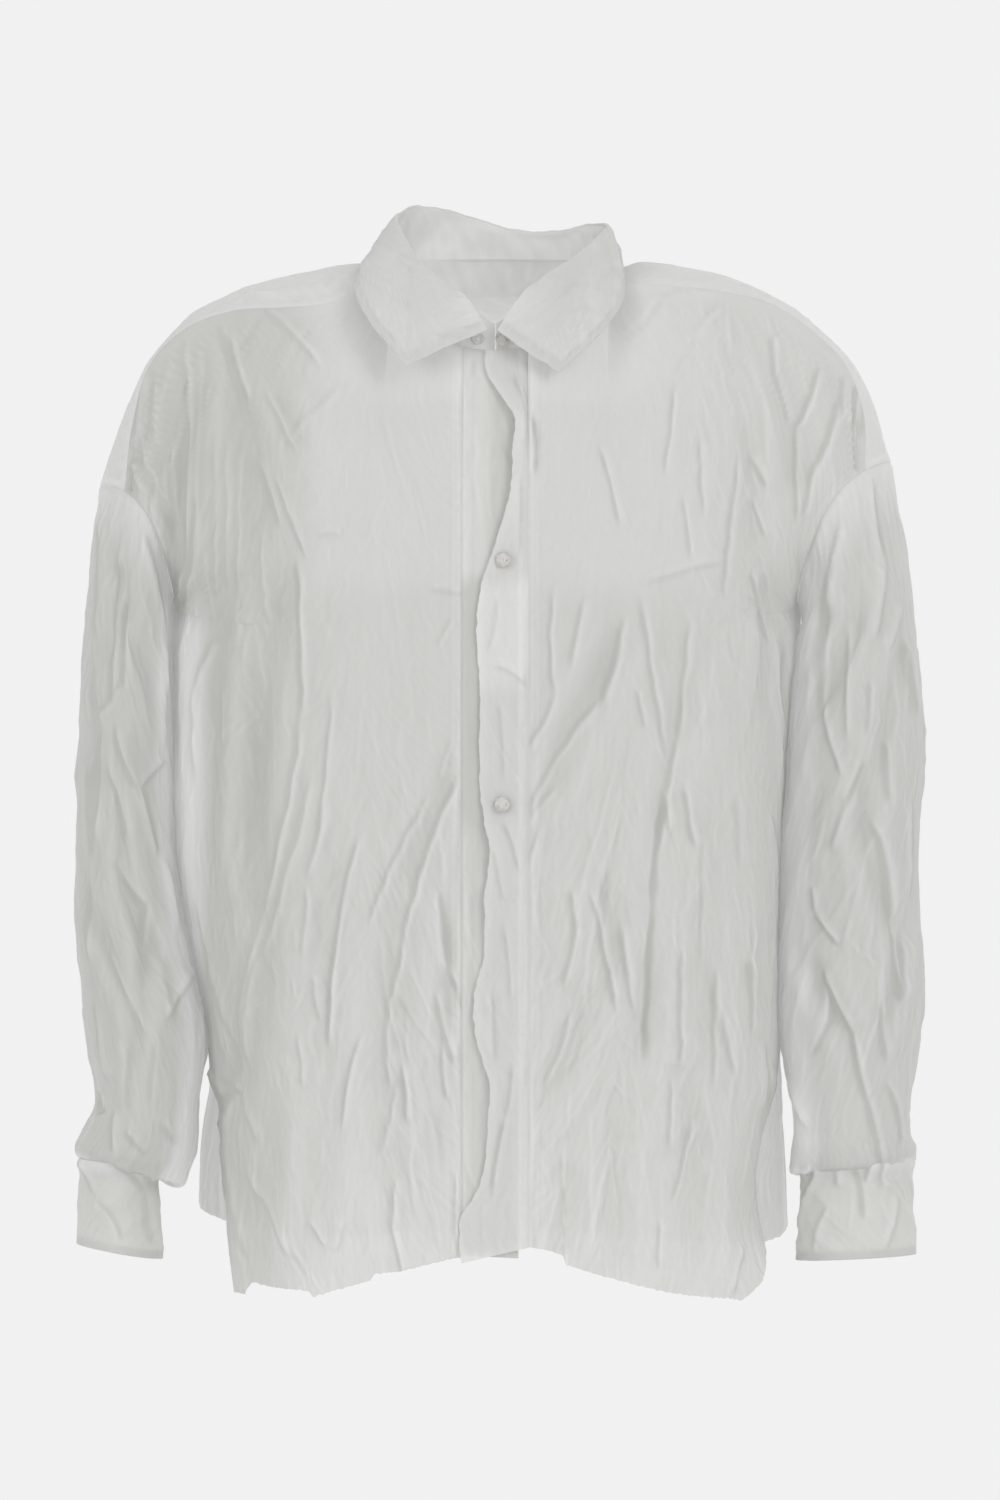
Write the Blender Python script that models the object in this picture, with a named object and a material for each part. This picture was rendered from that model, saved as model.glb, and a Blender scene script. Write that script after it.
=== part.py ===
"""A loose shirt with a turned-down collar, filled out as if worn, with nobody in it.

X runs to the wearer's left, the front faces -Y and Z is up. The origin lies in the neck
opening, level with the tops of the shoulders, where a wearer carries the shirt.
Tables are in millimetres and degrees; everything built from them is in metres.
"""

import bmesh
import bpy
import numpy as np
from mathutils import Matrix

MM = 0.001
RIGHT, LEFT = 0, 1  # the wearer's sides; the right one is at -X

# Driving dimensions
WALL = 1.2 * MM
BAND_WALL = 1.4 * MM
SEAM_GAP = 0.4 * MM
RIM_SLANT = 0.7 * MM
BAND_SEAM_X = (-22.5, 20.5)
UNDER_BAND_DEPTH = 3.2
UNDER_BAND_REACH = 14.0
NECK_HALF_WIDTH = 73.0
NECK_HALF_DEPTH = 82.0
NECK_MIDDLE_Y = -16.0
NECK_CORNER_ANGLE = 77.0
CUFF_WALL = 1.5 * MM
BUTTON_RADIUS = 5.2
BUTTON_HEIGHT = 4.0
FOLD_LIP = 0.45
HEM_START = 0.72
NECK_SHARE = 0.24

# How finely the panels are divided
NECK_COLUMNS = 6
SHOULDER_COLUMNS = 14
CHEST_LEVEL = 245
CHEST_ROWS = 10
LOWER_ROWS = 16
BACK_COLUMNS = 23
BACK_ROWS = 20
RING_SIDES = 20
SLEEVE_ROWS = 17

CLOTH = (0.63, 0.64, 0.62)
CLOTH_SHADE = (0.60, 0.61, 0.59)
BUTTON_COLOUR = (0.56, 0.57, 0.55)


def table(columns, *rows):
    """A table's named columns, each as an array."""
    return {name: np.array(values, float) for name, values in zip(columns.split(), zip(*rows))}


# The neckline, from the front (0) round to the back (180), the same on both sides
NECKLINE = table(
    "angle middle_x z",
    (0, -1, -60),
    (16, -1, -58),
    (35, 0, -50),
    (60, 1, -31),
    (77, 3, -14),
    (110, 4, 1),
    (150, 4, 5),
    (180, 4, 6))

# The line on which the collar turns down, above the neckline, at -X for angles below 0
ROLL_LINE = table(
    "angle spread inward rise",
    (-180, -2.0, 0.0, 20),
    (-165, -2.0, 0.0, 26),
    (-145, -2.0, 0.0, 33),
    (-125, -2.0, 0.5, 34),
    (-110, -3.0, 1.0, 33),
    (-77, -5.0, 2.0, 36),
    (-60, -8.0, 3.0, 37),
    (-35, -6.0, 4.5, 37),
    (-16, -2.0, 4.0, 32),
    (0, -2.0, 3.0, 18),
    (16, -2.0, 4.0, 35),
    (35, -6.0, 4.5, 43),
    (60, -8.0, 3.0, 38),
    (77, -4.0, 2.0, 34),
    (95, -3.0, 1.0, 27),
    (110, -2.0, 1.0, 24),
    (130, -2.0, 0.5, 22),
    (150, -2.0, 0.0, 18),
    (165, -2.0, 0.0, 17),
    (180, -2.0, 0.0, 20))

# Each armhole: its middle, the way from there to its top, its lean and its half depth
ARMHOLE = table(
    "middle_x middle_z top_x top_z bow_x bow_z half_depth",
    (-237.0, -186, -25.0, 39, 7, 20, 78),
    (228.5, -178, 31.5, 47, -10, 18, 78))

# The yoke's front seam between the collar and the armhole, on each side
YOKE_FRONT = (
    table(
        "x y z",
        (-90, -45, -18),
        (-112, -51, -27),
        (-142, -53, -30),
        (-172, -53, -32),
        (-203, -53, -43),
        (-227, -53, -66),
        (-239, -56, -105)),
    table(
        "x y z",
        (95, -43, -14),
        (120, -49, -16),
        (150, -53, -20),
        (178, -53, -27),
        (205, -53, -44),
        (229, -53, -68),
        (241, -55, -101)))
YOKE_FRONT_END = (60, 52)

# The ridge of each shoulder, from beside the neck to the top of the armhole
RIDGE = (
    table(
        "x y z",
        (-90, 8, 1),
        (-112, 6, -2),
        (-142, 4, -9),
        (-172, 2, -19),
        (-205, 0, -39),
        (-235, 0, -76),
        (-252, 0, -117)),
    table(
        "x y z",
        (95, 8, 1),
        (120, 6, -2),
        (150, 4, -9),
        (178, 2, -21),
        (207, 0, -40),
        (235, 0, -70),
        (251, 0, -103)))

# The yoke's back seam, at the same stations
YOKE_BACK = (
    table(
        "x y z",
        (-82, 103, -90),
        (-106, 100, -92),
        (-136, 96, -97),
        (-164, 91, -104),
        (-192, 86, -114),
        (-218, 80, -127),
        (-236, 75, -140)),
    table(
        "x y z",
        (86, 103, -90),
        (110, 100, -92),
        (138, 96, -97),
        (165, 91, -103),
        (192, 86, -112),
        (216, 80, -124),
        (232, 75, -134)))
YOKE_BACK_END = (-68, -68)
YOKE_BACK_MIDDLE = (2, 107, -88)

# Levels of both fronts, from the top down: the middle of the chest and the section's form
FRONT_LEVELS = table(
    "middle_z middle_y power turn",
    (-59, -96, 2.0, 60),
    (-112, -108, 2.1, 62),
    (-165, -116, 2.2, 70),
    (-208, -120, 2.4, 82),
    (-245, -122, 2.6, 90),
    (-312, -125, 2.7, 90),
    (-400, -127, 2.7, 90),
    (-468, -126, 2.6, 90),
    (-525, -124, 2.5, 90),
    (-575, -122, 2.5, 88),
    (-615, -121, 2.4, 85),
    (-650, -120, 2.4, 82))
ARMHOLE_LEVELS = (78, 105, 140)

# Where each front ends at the side, from the armpit down; below 540 it is the slit's edge
FRONT_SIDE = (
    table(
        "x y z",
        (-212, 0, -225),
        (-213, 2, -300),
        (-210, 3, -395),
        (-199, 3, -465),
        (-188, 1, -522),
        (-181, -8, -572),
        (-178, -14, -612),
        (-175, -18, -650)),
    table(
        "x y z",
        (197, 0, -225),
        (193, 2, -300),
        (188, 3, -395),
        (187, 3, -465),
        (186, 1, -522),
        (174, -8, -572),
        (171, -14, -612),
        (178, -18, -650)))

# The lower edge of each front, from the placket to the side
FRONT_HEM = (
    table(
        "across z",
        (0.00, -653),
        (0.20, -661),
        (0.35, -668),
        (0.47, -678),
        (0.56, -673),
        (0.70, -671),
        (0.86, -672),
        (1.00, -656)),
    table(
        "across z",
        (0.00, -645),
        (0.12, -650),
        (0.30, -667),
        (0.50, -678),
        (0.68, -682),
        (0.84, -670),
        (1.00, -640)))

# Levels of the back, from the yoke down
BACK_LEVELS = table(
    "middle_z middle_y power",
    (-88, 107, 2.0),
    (-140, 112, 2.0),
    (-192, 115, 2.2),
    (-240, 115, 2.5),
    (-312, 114, 2.6),
    (-400, 114, 2.6),
    (-468, 114, 2.6),
    (-525, 114, 2.5),
    (-575, 114, 2.5),
    (-620, 115, 2.4))
BACK_ARMHOLE_LEVELS = (-92, -130)
BACK_SIDE = (
    table(
        "x y z",
        (-212, 0, -225),
        (-213, 2, -300),
        (-210, 3, -395),
        (-199, 3, -465),
        (-188, 2, -522),
        (-195, 8, -572),
        (-197, 12, -618)),
    table(
        "x y z",
        (197, 0, -225),
        (193, 2, -300),
        (188, 3, -395),
        (187, 3, -465),
        (186, 2, -522),
        (190, 8, -572),
        (192, 12, -618)))
BACK_HEM = table(
    "across z",
    (0.00, -619),
    (0.10, -632),
    (0.25, -645),
    (0.50, -640),
    (0.75, -648),
    (0.92, -645),
    (1.00, -634))

# Each sleeve's rings, from the armhole down: outer and inner side, and the depth between
SLEEVE_RINGS = (
    table(
        "outer_x outer_z inner_x inner_z middle_y half_depth",
        (-268, -196, -214.5, -258, 0, 77),
        (-273, -275, -215.5, -302, -3, 73),
        (-276, -350, -215, -360, -6, 68),
        (-278, -407, -212.5, -410, -10, 64),
        (-276, -460, -203.5, -462, -13, 61),
        (-269, -512, -193.5, -514, -17, 60),
        (-264, -552, -197, -556, -20, 58),
        (-274, -575, -204, -596, -22, 58),
        (-276.8, -582, -209.5, -606, -23, 61),
        (-276, -586.8, -215, -605, -24, 58),
        (-273, -588.8, -222.5, -592.8, -24, 52.8)),
    table(
        "outer_x outer_z inner_x inner_z middle_y half_depth",
        (271, -196, 208, -250, 0, 77),
        (278, -270, 195.8, -296, -3, 72),
        (281, -322, 193.5, -340, -6, 68),
        (278, -380, 191, -386, -9, 63),
        (279, -430, 190, -434, -12, 59),
        (282, -478, 189.8, -480, -15, 56),
        (276, -532, 190.8, -535, -18, 53),
        (272, -572, 195, -574, -21, 51),
        (276.5, -586, 193.5, -600, -22, 54),
        (276, -589.5, 197, -600, -23, 51),
        (273, -588, 200.5, -591, -23, 45.5)))

# Each cuff's rings, from the seam down
CUFF_RINGS = (
    table(
        "outer_x outer_z inner_x inner_z middle_y half_depth",
        (-272.5, -589.3, -223, -593.3, -24, 52.2),
        (-275, -612, -222.5, -614, -24, 52),
        (-276.5, -634, -221, -640, -24, 53),
        (-277, -645, -220, -655, -24, 54)),
    table(
        "outer_x outer_z inner_x inner_z middle_y half_depth",
        (272.4, -588.6, 201.1, -591.6, -23, 45),
        (274.5, -612, 200, -614, -23, 45),
        (276, -636, 198, -640, -23, 46.5),
        (276, -652, 196.5, -656, -23, 47)))

# The collar leaf's outer edge, by its station round the neckline; its points lie at -300 and -60
LEAF_EDGE = table(
    "angle x y z",
    (-340, 0, -112, -47),
    (-325, 20, -111, -62),
    (-300, 41, -107, -75),
    (-285, 66, -87, -50),
    (-270, 83, -60, -25),
    (-255, 86, -24, 4),
    (-240, 88, 12, 9),
    (-210, 52, 82, 4),
    (-180, 3, 98, 2),
    (-150, -46, 82, 4),
    (-120, -84, 14, 8),
    (-105, -90, -22, 1),
    (-90, -93, -58, -19),
    (-75, -81, -88, -44),
    (-60, -59, -108, -71),
    (-35, -32, -112, -58),
    (-20, -6, -112, -47))
LEAF_TURN = (-285, -75)

# The over band's free edge, from the neckline down
OVER_BAND_EDGE = table(
    "z x lift",
    (-50, -8, 2.0),
    (-73, -7, 2.6),
    (-92, 4, 3.2),
    (-104, 11, 4.0),
    (-122, 10, 4.0),
    (-150, 9, 3.4),
    (-182, 0, 3.0),
    (-212, -10, 2.6),
    (-290, -11, 2.4),
    (-355, -10, 2.6),
    (-385, -5, 3.4),
    (-415, -8, 2.6),
    (-455, -9, 2.6),
    (-480, -15, 3.0),
    (-505, -14, 2.6),
    (-535, -5, 3.6),
    (-560, -6, 3.0),
    (-605, -13, 3.0),
    (-620, -22, 3.4),
    (-654, -24, 3.4))
OVER_BAND_HEM = (-655, -645)
UNDER_BAND_HEM = (-652, -650)

BUTTONS = table(
    "x z seat_y radius_share",
    (-13, -52, -95.8, 0.85),
    (4, -52, -96.8, 1.0),
    (4, -197, -120.7, 1.0),
    (3.5, -356, -127.5, 1.0))

# Large folds of the fronts and back, seen from the front: a line, its sideways bow, width and depth
FRONT_FOLDS = (
    table(
        "x1 z1 x2 z2 bow width depth",
        (-196, -50, -214, -200, -4, 13, 11.0),
        (-171, -75, -152, -190, 2, 10, 4.5),
        (-146, -85, -128, -125, 2, 8, 2.5),
        (-130, -190, -154, -435, -12, 11, 5.5),
        (-150, -430, -184, -575, 8, 10, 5.0),
        (-178, -200, -186, -420, -5, 10, 4.5),
        (-158, -270, -166, -400, 4, 9, 4.0),
        (-21, -320, -66, -490, -8, 11, 5.0),
        (-100, -385, -107, -510, -5, 10, 4.5),
        (-38, -405, -30, -520, 5, 9, 4.0),
        (-67, -470, -62, -650, -3, 11, 5.5),
        (-112, -500, -122, -672, 4, 11, 5.5),
        (-146, -560, -160, -670, 3, 10, 4.5),
        (-42, -560, -44, -655, 0, 9, 3.5)),
    table(
        "x1 z1 x2 z2 bow width depth",
        (186, -58, 199, -150, 4, 12, 8.0),
        (165, -100, 172, -200, -3, 9, 4.0),
        (82, -220, 24, -360, 10, 11, 5.0),
        (95, -235, 34, -350, -8, 9, 3.5),
        (126, -275, 110, -400, -4, 10, 4.5),
        (176, -205, 180, -300, 3, 9, 5.5),
        (68, -405, 78, -475, 3, 9, 4.0),
        (100, -450, 93, -530, 2, 9, 4.0),
        (58, -485, 24, -565, 5, 10, 4.5),
        (140, -420, 150, -560, -6, 10, 4.5),
        (120, -520, 132, -675, 4, 11, 5.5),
        (80, -560, 84, -668, -3, 10, 5.0),
        (45, -590, 42, -655, 2, 9, 4.0),
        (160, -600, 158, -675, 0, 8, 3.5)))
BACK_FOLDS = table(
    "x1 z1 x2 z2 bow width depth",
    (-150, -120, -176, -330, -8, 12, 5.0),
    (-96, -110, -110, -300, 6, 12, 4.0),
    (-40, -105, -62, -380, -10, 13, 5.0),
    (20, -110, 12, -330, 6, 12, 4.5),
    (84, -110, 74, -370, -8, 13, 5.0),
    (140, -120, 164, -340, 8, 12, 5.0),
    (-140, -360, -118, -620, 8, 13, 5.5),
    (-70, -420, -80, -640, -6, 12, 5.0),
    (-14, -400, 2, -640, 8, 13, 5.5),
    (60, -430, 48, -640, -6, 12, 5.0),
    (116, -380, 132, -640, 8, 13, 5.5),
    (166, -420, 158, -620, 4, 10, 4.0))

# Large folds of the sleeves: a line by angle round the sleeve (0 outer, 90 front) and height
SLEEVE_FOLDS = (
    table(
        "angle1 z1 angle2 z2 bow width depth",
        (60, -190, 130, -300, 6, 10, 4.5),
        (20, -240, 70, -380, 5, 10, 4.5),
        (80, -340, 120, -460, -6, 10, 5.0),
        (30, -400, 90, -500, 6, 10, 5.0),
        (110, -440, 60, -550, 6, 9, 4.5),
        (20, -520, 60, -575, 3, 8, 4.0),
        (200, -240, 250, -400, 8, 11, 4.5),
        (300, -220, 270, -380, 6, 11, 4.5),
        (240, -420, 300, -540, 6, 11, 5.0),
        (170, -320, 200, -480, 4, 10, 4.0)),
    table(
        "angle1 z1 angle2 z2 bow width depth",
        (70, -180, 120, -290, 5, 10, 4.5),
        (30, -230, 80, -370, 6, 10, 4.5),
        (90, -330, 50, -450, 6, 10, 4.5),
        (130, -460, 70, -585, -8, 10, 5.5),
        (40, -430, 70, -540, 5, 9, 4.5),
        (10, -500, 40, -575, 4, 9, 4.0),
        (210, -230, 240, -400, 8, 11, 4.5),
        (290, -240, 320, -420, 6, 11, 4.5),
        (250, -430, 290, -560, 6, 11, 5.0),
        (170, -340, 190, -500, 4, 10, 4.0)))


def spline(knots, values):
    """A smooth curve through values at rising knots, as a function of the knot value."""
    knots = np.asarray(knots, float)
    values = np.asarray(values, float)
    slopes = np.gradient(values, knots, axis=0)

    def at(t):
        t = np.clip(np.asarray(t, float), knots[0], knots[-1])
        i = np.clip(np.searchsorted(knots, t, side="right") - 1, 0, len(knots) - 2)
        step = knots[i + 1] - knots[i]
        f = (t - knots[i]) / step
        if values.ndim > 1:
            shape = f.shape + (1,) * (values.ndim - 1)
            f = f.reshape(shape)
            step = step.reshape(shape)
        start = (2 * f**3 - 3 * f**2 + 1) * values[i] + (f**3 - 2 * f**2 + f) * step * slopes[i]
        end = (3 * f**2 - 2 * f**3) * values[i + 1] + (f**3 - f**2) * step * slopes[i + 1]
        return start + end

    return at


def resample(points, shares):
    """Points at the given shares of a line's length."""
    steps = np.linalg.norm(np.diff(points, axis=0), axis=1)
    length = np.concatenate([[0], np.cumsum(steps)])
    return np.stack([np.interp(shares * length[-1], length, points[:, k]) for k in range(3)], 1)


def smooth_line(points, shares):
    """Points at the given shares of the smooth line through a few points."""
    points = np.asarray(points, float)
    knots = np.concatenate([[0], np.cumsum(np.linalg.norm(np.diff(points, axis=0), axis=1))])
    fine = spline(knots, points)(np.linspace(0, knots[-1], 200))
    return resample(fine, shares)


def ease(t):
    """0 below 0, 1 above 1, smooth between."""
    t = np.clip(t, 0, 1)
    return t * t * (3 - 2 * t)


def armhole(side, degrees):
    """Points of an armhole seam: 0 is its top, 90 its foremost point, 180 the armpit."""
    a = np.radians(np.asarray(degrees, float))
    row = {name: column[side] for name, column in ARMHOLE.items()}
    lean = np.sin(a) ** 2
    x = row["middle_x"] + row["top_x"] * np.cos(a) + row["bow_x"] * lean
    y = -row["half_depth"] * np.sin(a)
    z = row["middle_z"] + row["top_z"] * np.cos(a) + row["bow_z"] * lean
    return np.stack([x, y, z], -1)


def neckline(degrees):
    """Points of the neckline seam: 0 is the front, 90 the wearer's left, 180 the back."""
    degrees = np.asarray(degrees, float)
    a = np.radians(degrees)
    fold = np.abs((degrees + 180) % 360 - 180)
    middle = spline(NECKLINE["angle"], NECKLINE["middle_x"])(fold)
    x = middle + NECK_HALF_WIDTH * np.sin(a)
    y = NECK_MIDDLE_Y - NECK_HALF_DEPTH * np.cos(a)
    return np.stack([x, y, spline(NECKLINE["angle"], NECKLINE["z"])(fold)], -1)


def roll_line(degrees):
    """Points of the line on which the collar turns down."""
    degrees = np.asarray(degrees, float)
    a = np.radians(degrees)
    place = (degrees + 180) % 360 - 180
    spread = spline(ROLL_LINE["angle"], ROLL_LINE["spread"])(place)
    inward = spline(ROLL_LINE["angle"], ROLL_LINE["inward"])(place)
    rise = spline(ROLL_LINE["angle"], ROLL_LINE["rise"])(place)
    move = np.stack([spread * np.sin(a), inward * np.cos(a), rise], -1)
    return neckline(degrees) + move


def rows_of(columns):
    """A table's x, y and z columns as points."""
    return np.stack([columns["x"], columns["y"], columns["z"]], 1)


def yoke_line(side, seam, first, last):
    """A seam or ridge of the yoke, with its two end points."""
    return np.vstack([first, rows_of(seam[side]), last])


def front_top(side, neck_shares, seam_shares):
    """The top edge of a front: the neckline, then the yoke's front seam to the armhole."""
    sign = -1 if side == RIGHT else 1
    start = np.degrees(np.arcsin((BAND_SEAM_X[side] - NECKLINE["middle_x"][0]) / NECK_HALF_WIDTH))
    angles = start + (sign * NECK_CORNER_ANGLE - start) * neck_shares
    corner = neckline(sign * NECK_CORNER_ANGLE)
    seam = yoke_line(side, YOKE_FRONT, corner, armhole(side, YOKE_FRONT_END[side]))
    return np.vstack([neckline(angles), smooth_line(seam, seam_shares)[1:]])


def section(inner, outer, power, turn, shares):
    """Points of one level from the middle round to the side, along part of a superellipse."""
    share = np.linspace(0, 1, 120)
    a = np.radians(turn) * share
    across = np.sin(a) ** (2 / power)
    back = 1 - np.clip(np.cos(a), 0, 1) ** (2 / power)
    form = np.stack([across / across[-1], back / back[-1], share**1.6], 1)
    return resample(inner + (outer - inner) * form, shares)


def front_middle(z):
    """How far forward the middle of the chest lies at a height."""
    heights = -FRONT_LEVELS["middle_z"]
    return spline(heights, FRONT_LEVELS["middle_y"])(-np.asarray(z, float))


def front_form(side, neck_shares, seam_shares, levels):
    """A front without its folds, in rows from the top edge down."""
    top = front_top(side, neck_shares, seam_shares)
    shares = np.concatenate([NECK_SHARE * neck_shares, NECK_SHARE + (1 - NECK_SHARE) * seam_shares[1:]])
    ends = np.vstack([armhole(side, ARMHOLE_LEVELS), rows_of(FRONT_SIDE[side])])
    rows = [top]
    for i, end in enumerate(ends, start=1):
        inner = np.array([BAND_SEAM_X[side], FRONT_LEVELS["middle_y"][i], FRONT_LEVELS["middle_z"][i]])
        rows.append(section(inner, end, FRONT_LEVELS["power"][i], FRONT_LEVELS["turn"][i], shares))
    knots = -FRONT_LEVELS["middle_z"]
    grid = spline(knots, np.stack(rows))(levels)
    turns = [YOKE_FRONT_END[side], *ARMHOLE_LEVELS, 180]
    grid = fit_edge(grid, -1, side_edge(side, turns, knots, levels, FRONT_SIDE[side]), shares)
    return drop_to_hem(grid, shares, FRONT_HEM[side], levels, -FRONT_LEVELS["middle_z"][-1]), shares


def side_edge(side, turns, knots, levels, edge):
    """A panel's outer edge: along the armhole down to the armpit, then down the side seam."""
    armpit = len(turns) - 1
    angles = spline(knots[:armpit + 1], turns)(np.minimum(levels, knots[armpit]))
    heights = spline(knots[armpit:], edge["z"])(np.maximum(levels, knots[armpit]))
    x = spline(-edge["z"], edge["x"])(-heights)
    y = spline(-edge["z"], edge["y"])(-heights)
    below = np.stack([x, y, heights], 1)
    return np.where((levels < knots[armpit])[:, None], armhole(side, angles), below)


def fit_edge(grid, column, edge, shares):
    """Moves a panel's side onto its edge line, less and less away from it."""
    amount = shares[None, :, None] ** 2
    return grid + amount * (edge - grid[:, column])[:, None, :]


def seam_gap(grid, line, amount=1.0):
    """Draws one edge of a grid back along its surface, clear of the piece sewn to it."""
    edges = {"top": (0, 1), "bottom": (-1, -2)}
    if line in edges:
        here, inside = edges[line]
        way = grid[inside] - grid[here]
        grid[here] += amount * SEAM_GAP / MM * way / np.linalg.norm(way, axis=1, keepdims=True)
    else:
        here, inside = {"first": (0, 1), "last": (-1, -2)}[line]
        way = grid[:, inside] - grid[:, here]
        grid[:, here] += amount * SEAM_GAP / MM * way / np.linalg.norm(way, axis=1, keepdims=True)


def drop_to_hem(grid, shares, hem, levels, base):
    """Stretches the lowest part of a panel down to its hem line."""
    hem_z = spline(hem["across"], hem["z"])(shares)
    amount = ease((levels / base - HEM_START) / (1 - HEM_START))
    grid[:, :, 2] += amount[:, None] * (hem_z - grid[-1, :, 2])[None, :]
    return grid


def back_form(shares, levels):
    """The back without its folds, in rows from the yoke down, its columns from right to left."""
    top = np.vstack([armhole(RIGHT, YOKE_BACK_END[RIGHT]), rows_of(YOKE_BACK[RIGHT])[::-1],
                     YOKE_BACK_MIDDLE, rows_of(YOKE_BACK[LEFT]), armhole(LEFT, YOKE_BACK_END[LEFT])])
    rows = [smooth_line(top, shares)]
    ends = [
        np.vstack([armhole(side, BACK_ARMHOLE_LEVELS), rows_of(BACK_SIDE[side])])
        for side in (RIGHT, LEFT)]
    half = np.linspace(0, 1, 60)
    for i in range(len(ends[RIGHT])):
        level = i + 1
        inner = np.array([2.0, BACK_LEVELS["middle_y"][level], BACK_LEVELS["middle_z"][level]])
        turn = 70 if i == 0 else 90
        right = section(inner, ends[RIGHT][i], BACK_LEVELS["power"][level], turn, half)
        left = section(inner, ends[LEFT][i], BACK_LEVELS["power"][level], turn, half)
        rows.append(resample(np.vstack([right[::-1], left[1:]]), shares))
    knots = -BACK_LEVELS["middle_z"]
    grid = spline(knots, np.stack(rows))(levels)
    for side, column in ((RIGHT, 0), (LEFT, -1)):
        turns = [YOKE_BACK_END[side], *BACK_ARMHOLE_LEVELS, -180]
        away = 1 - 2 * shares if side == RIGHT else 2 * shares - 1
        edge = side_edge(side, turns, knots, levels, BACK_SIDE[side])
        grid = fit_edge(grid, column, edge, np.clip(away, 0, 1))
    return drop_to_hem(grid, shares, BACK_HEM, levels, -BACK_LEVELS["middle_z"][-1])


def ring(row, angles):
    """One ring of a sleeve or cuff: angle 0 is its outer side and 90 its front."""
    a = np.radians(angles)
    outer = np.array([row["outer_x"], row["middle_y"], row["outer_z"]])
    inner = np.array([row["inner_x"], row["middle_y"], row["inner_z"]])
    middle = (outer + inner) / 2
    points = middle + np.cos(a)[:, None] * (outer - inner) / 2
    points[:, 1] -= row["half_depth"] * np.sin(a)
    return points


def ring_levels(rings, first=None):
    """How far down a tube each of its rings lies, along its outer and inner sides."""
    outer = np.stack([rings["outer_x"], rings["outer_z"]], 1)
    inner = np.stack([rings["inner_x"], rings["inner_z"]], 1)
    if first is not None:
        outer = np.vstack([first[0], outer])
        inner = np.vstack([first[1], inner])
    steps = sum(np.linalg.norm(np.diff(line, axis=0), axis=1) for line in (outer, inner)) / 2
    return np.concatenate([[0], np.cumsum(steps)])


def tube_form(rings, knots, angles, levels, top_ring=None):
    """A sleeve or cuff without its folds, in rings from the top down."""
    rows = [ring({name: column[i] for name, column in rings.items()}, angles)
            for i in range(len(rings["outer_x"]))]
    if top_ring is not None:
        rows.insert(0, top_ring)
    return spline(knots, np.stack(rows))(levels)


def fold_height(across, along, folds, start, end):
    """Height of a set of folds at places on a panel, below 0 in a trough."""
    height = np.zeros_like(across)
    for x1, z1, x2, z2, bow, width, depth in zip(
            start[0], start[1], end[0], end[1], folds["bow"], folds["width"], folds["depth"]):
        length = np.hypot(x2 - x1, z2 - z1)
        ux, uz = (x2 - x1) / length, (z2 - z1) / length
        t = ((across - x1) * ux + (along - z1) * uz) / length
        off = (across - x1) * -uz + (along - z1) * ux
        off = off - bow * 4 * np.clip(t, 0, 1) * (1 - np.clip(t, 0, 1))
        fade = ease((t + 0.12) / 0.3) * ease((1.12 - t) / 0.3)
        trough = np.exp(-(off / width) ** 2)
        lip = np.exp(-((off - 1.7 * width) / width) ** 2) + np.exp(-((off + 1.7 * width) / width) ** 2)
        height += depth * fade * (FOLD_LIP * lip - trough)
    return height


def normals(grid, closed):
    """Unit normals of a grid of points, out of the side on which rows x columns turn."""
    if closed:
        wide = np.concatenate([grid[:, -1:], grid, grid[:, :1]], 1)
        across = (wide[:, 2:] - wide[:, :-2])
    else:
        across = np.gradient(grid, axis=1)
    down = np.gradient(grid, axis=0)
    normal = np.cross(down, across)
    return normal / np.linalg.norm(normal, axis=2, keepdims=True)


def raised(grid, height, closed=False, sign=1):
    """The grid moved out along its normals by a height at each point."""
    return grid + sign * normals(grid, closed) * height[:, :, None]


def edge_fade(shares, levels, reach=0.09, top=True, bottom=False):
    """1 inside a panel and 0 at its sewn edges."""
    across = ease(shares / reach) * ease((1 - shares) / reach)
    share = (levels - levels[0]) / (levels[-1] - levels[0])
    along = ease(share / reach) if top else np.ones_like(share)
    if bottom:
        along = along * ease((1 - share) / reach)
    return along[:, None] * across[None, :]


def draw_back(inside, edge, next_row):
    """Slants a wall's rim, so that walls meeting at an angle stay clear on their inner side."""
    way = inside[next_row] - inside[edge]
    inside[edge] += RIM_SLANT * way / np.linalg.norm(way, axis=1, keepdims=True)


def halves(points, a, b, c, d):
    """A square of the grid as two triangles, cut on its shorter diagonal, alike on both sides."""
    if np.linalg.norm(points[a] - points[c]) < np.linalg.norm(points[b] - points[d]):
        return [a, b, c], [a, c, d]
    return [a, b, d], [b, c, d]


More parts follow.
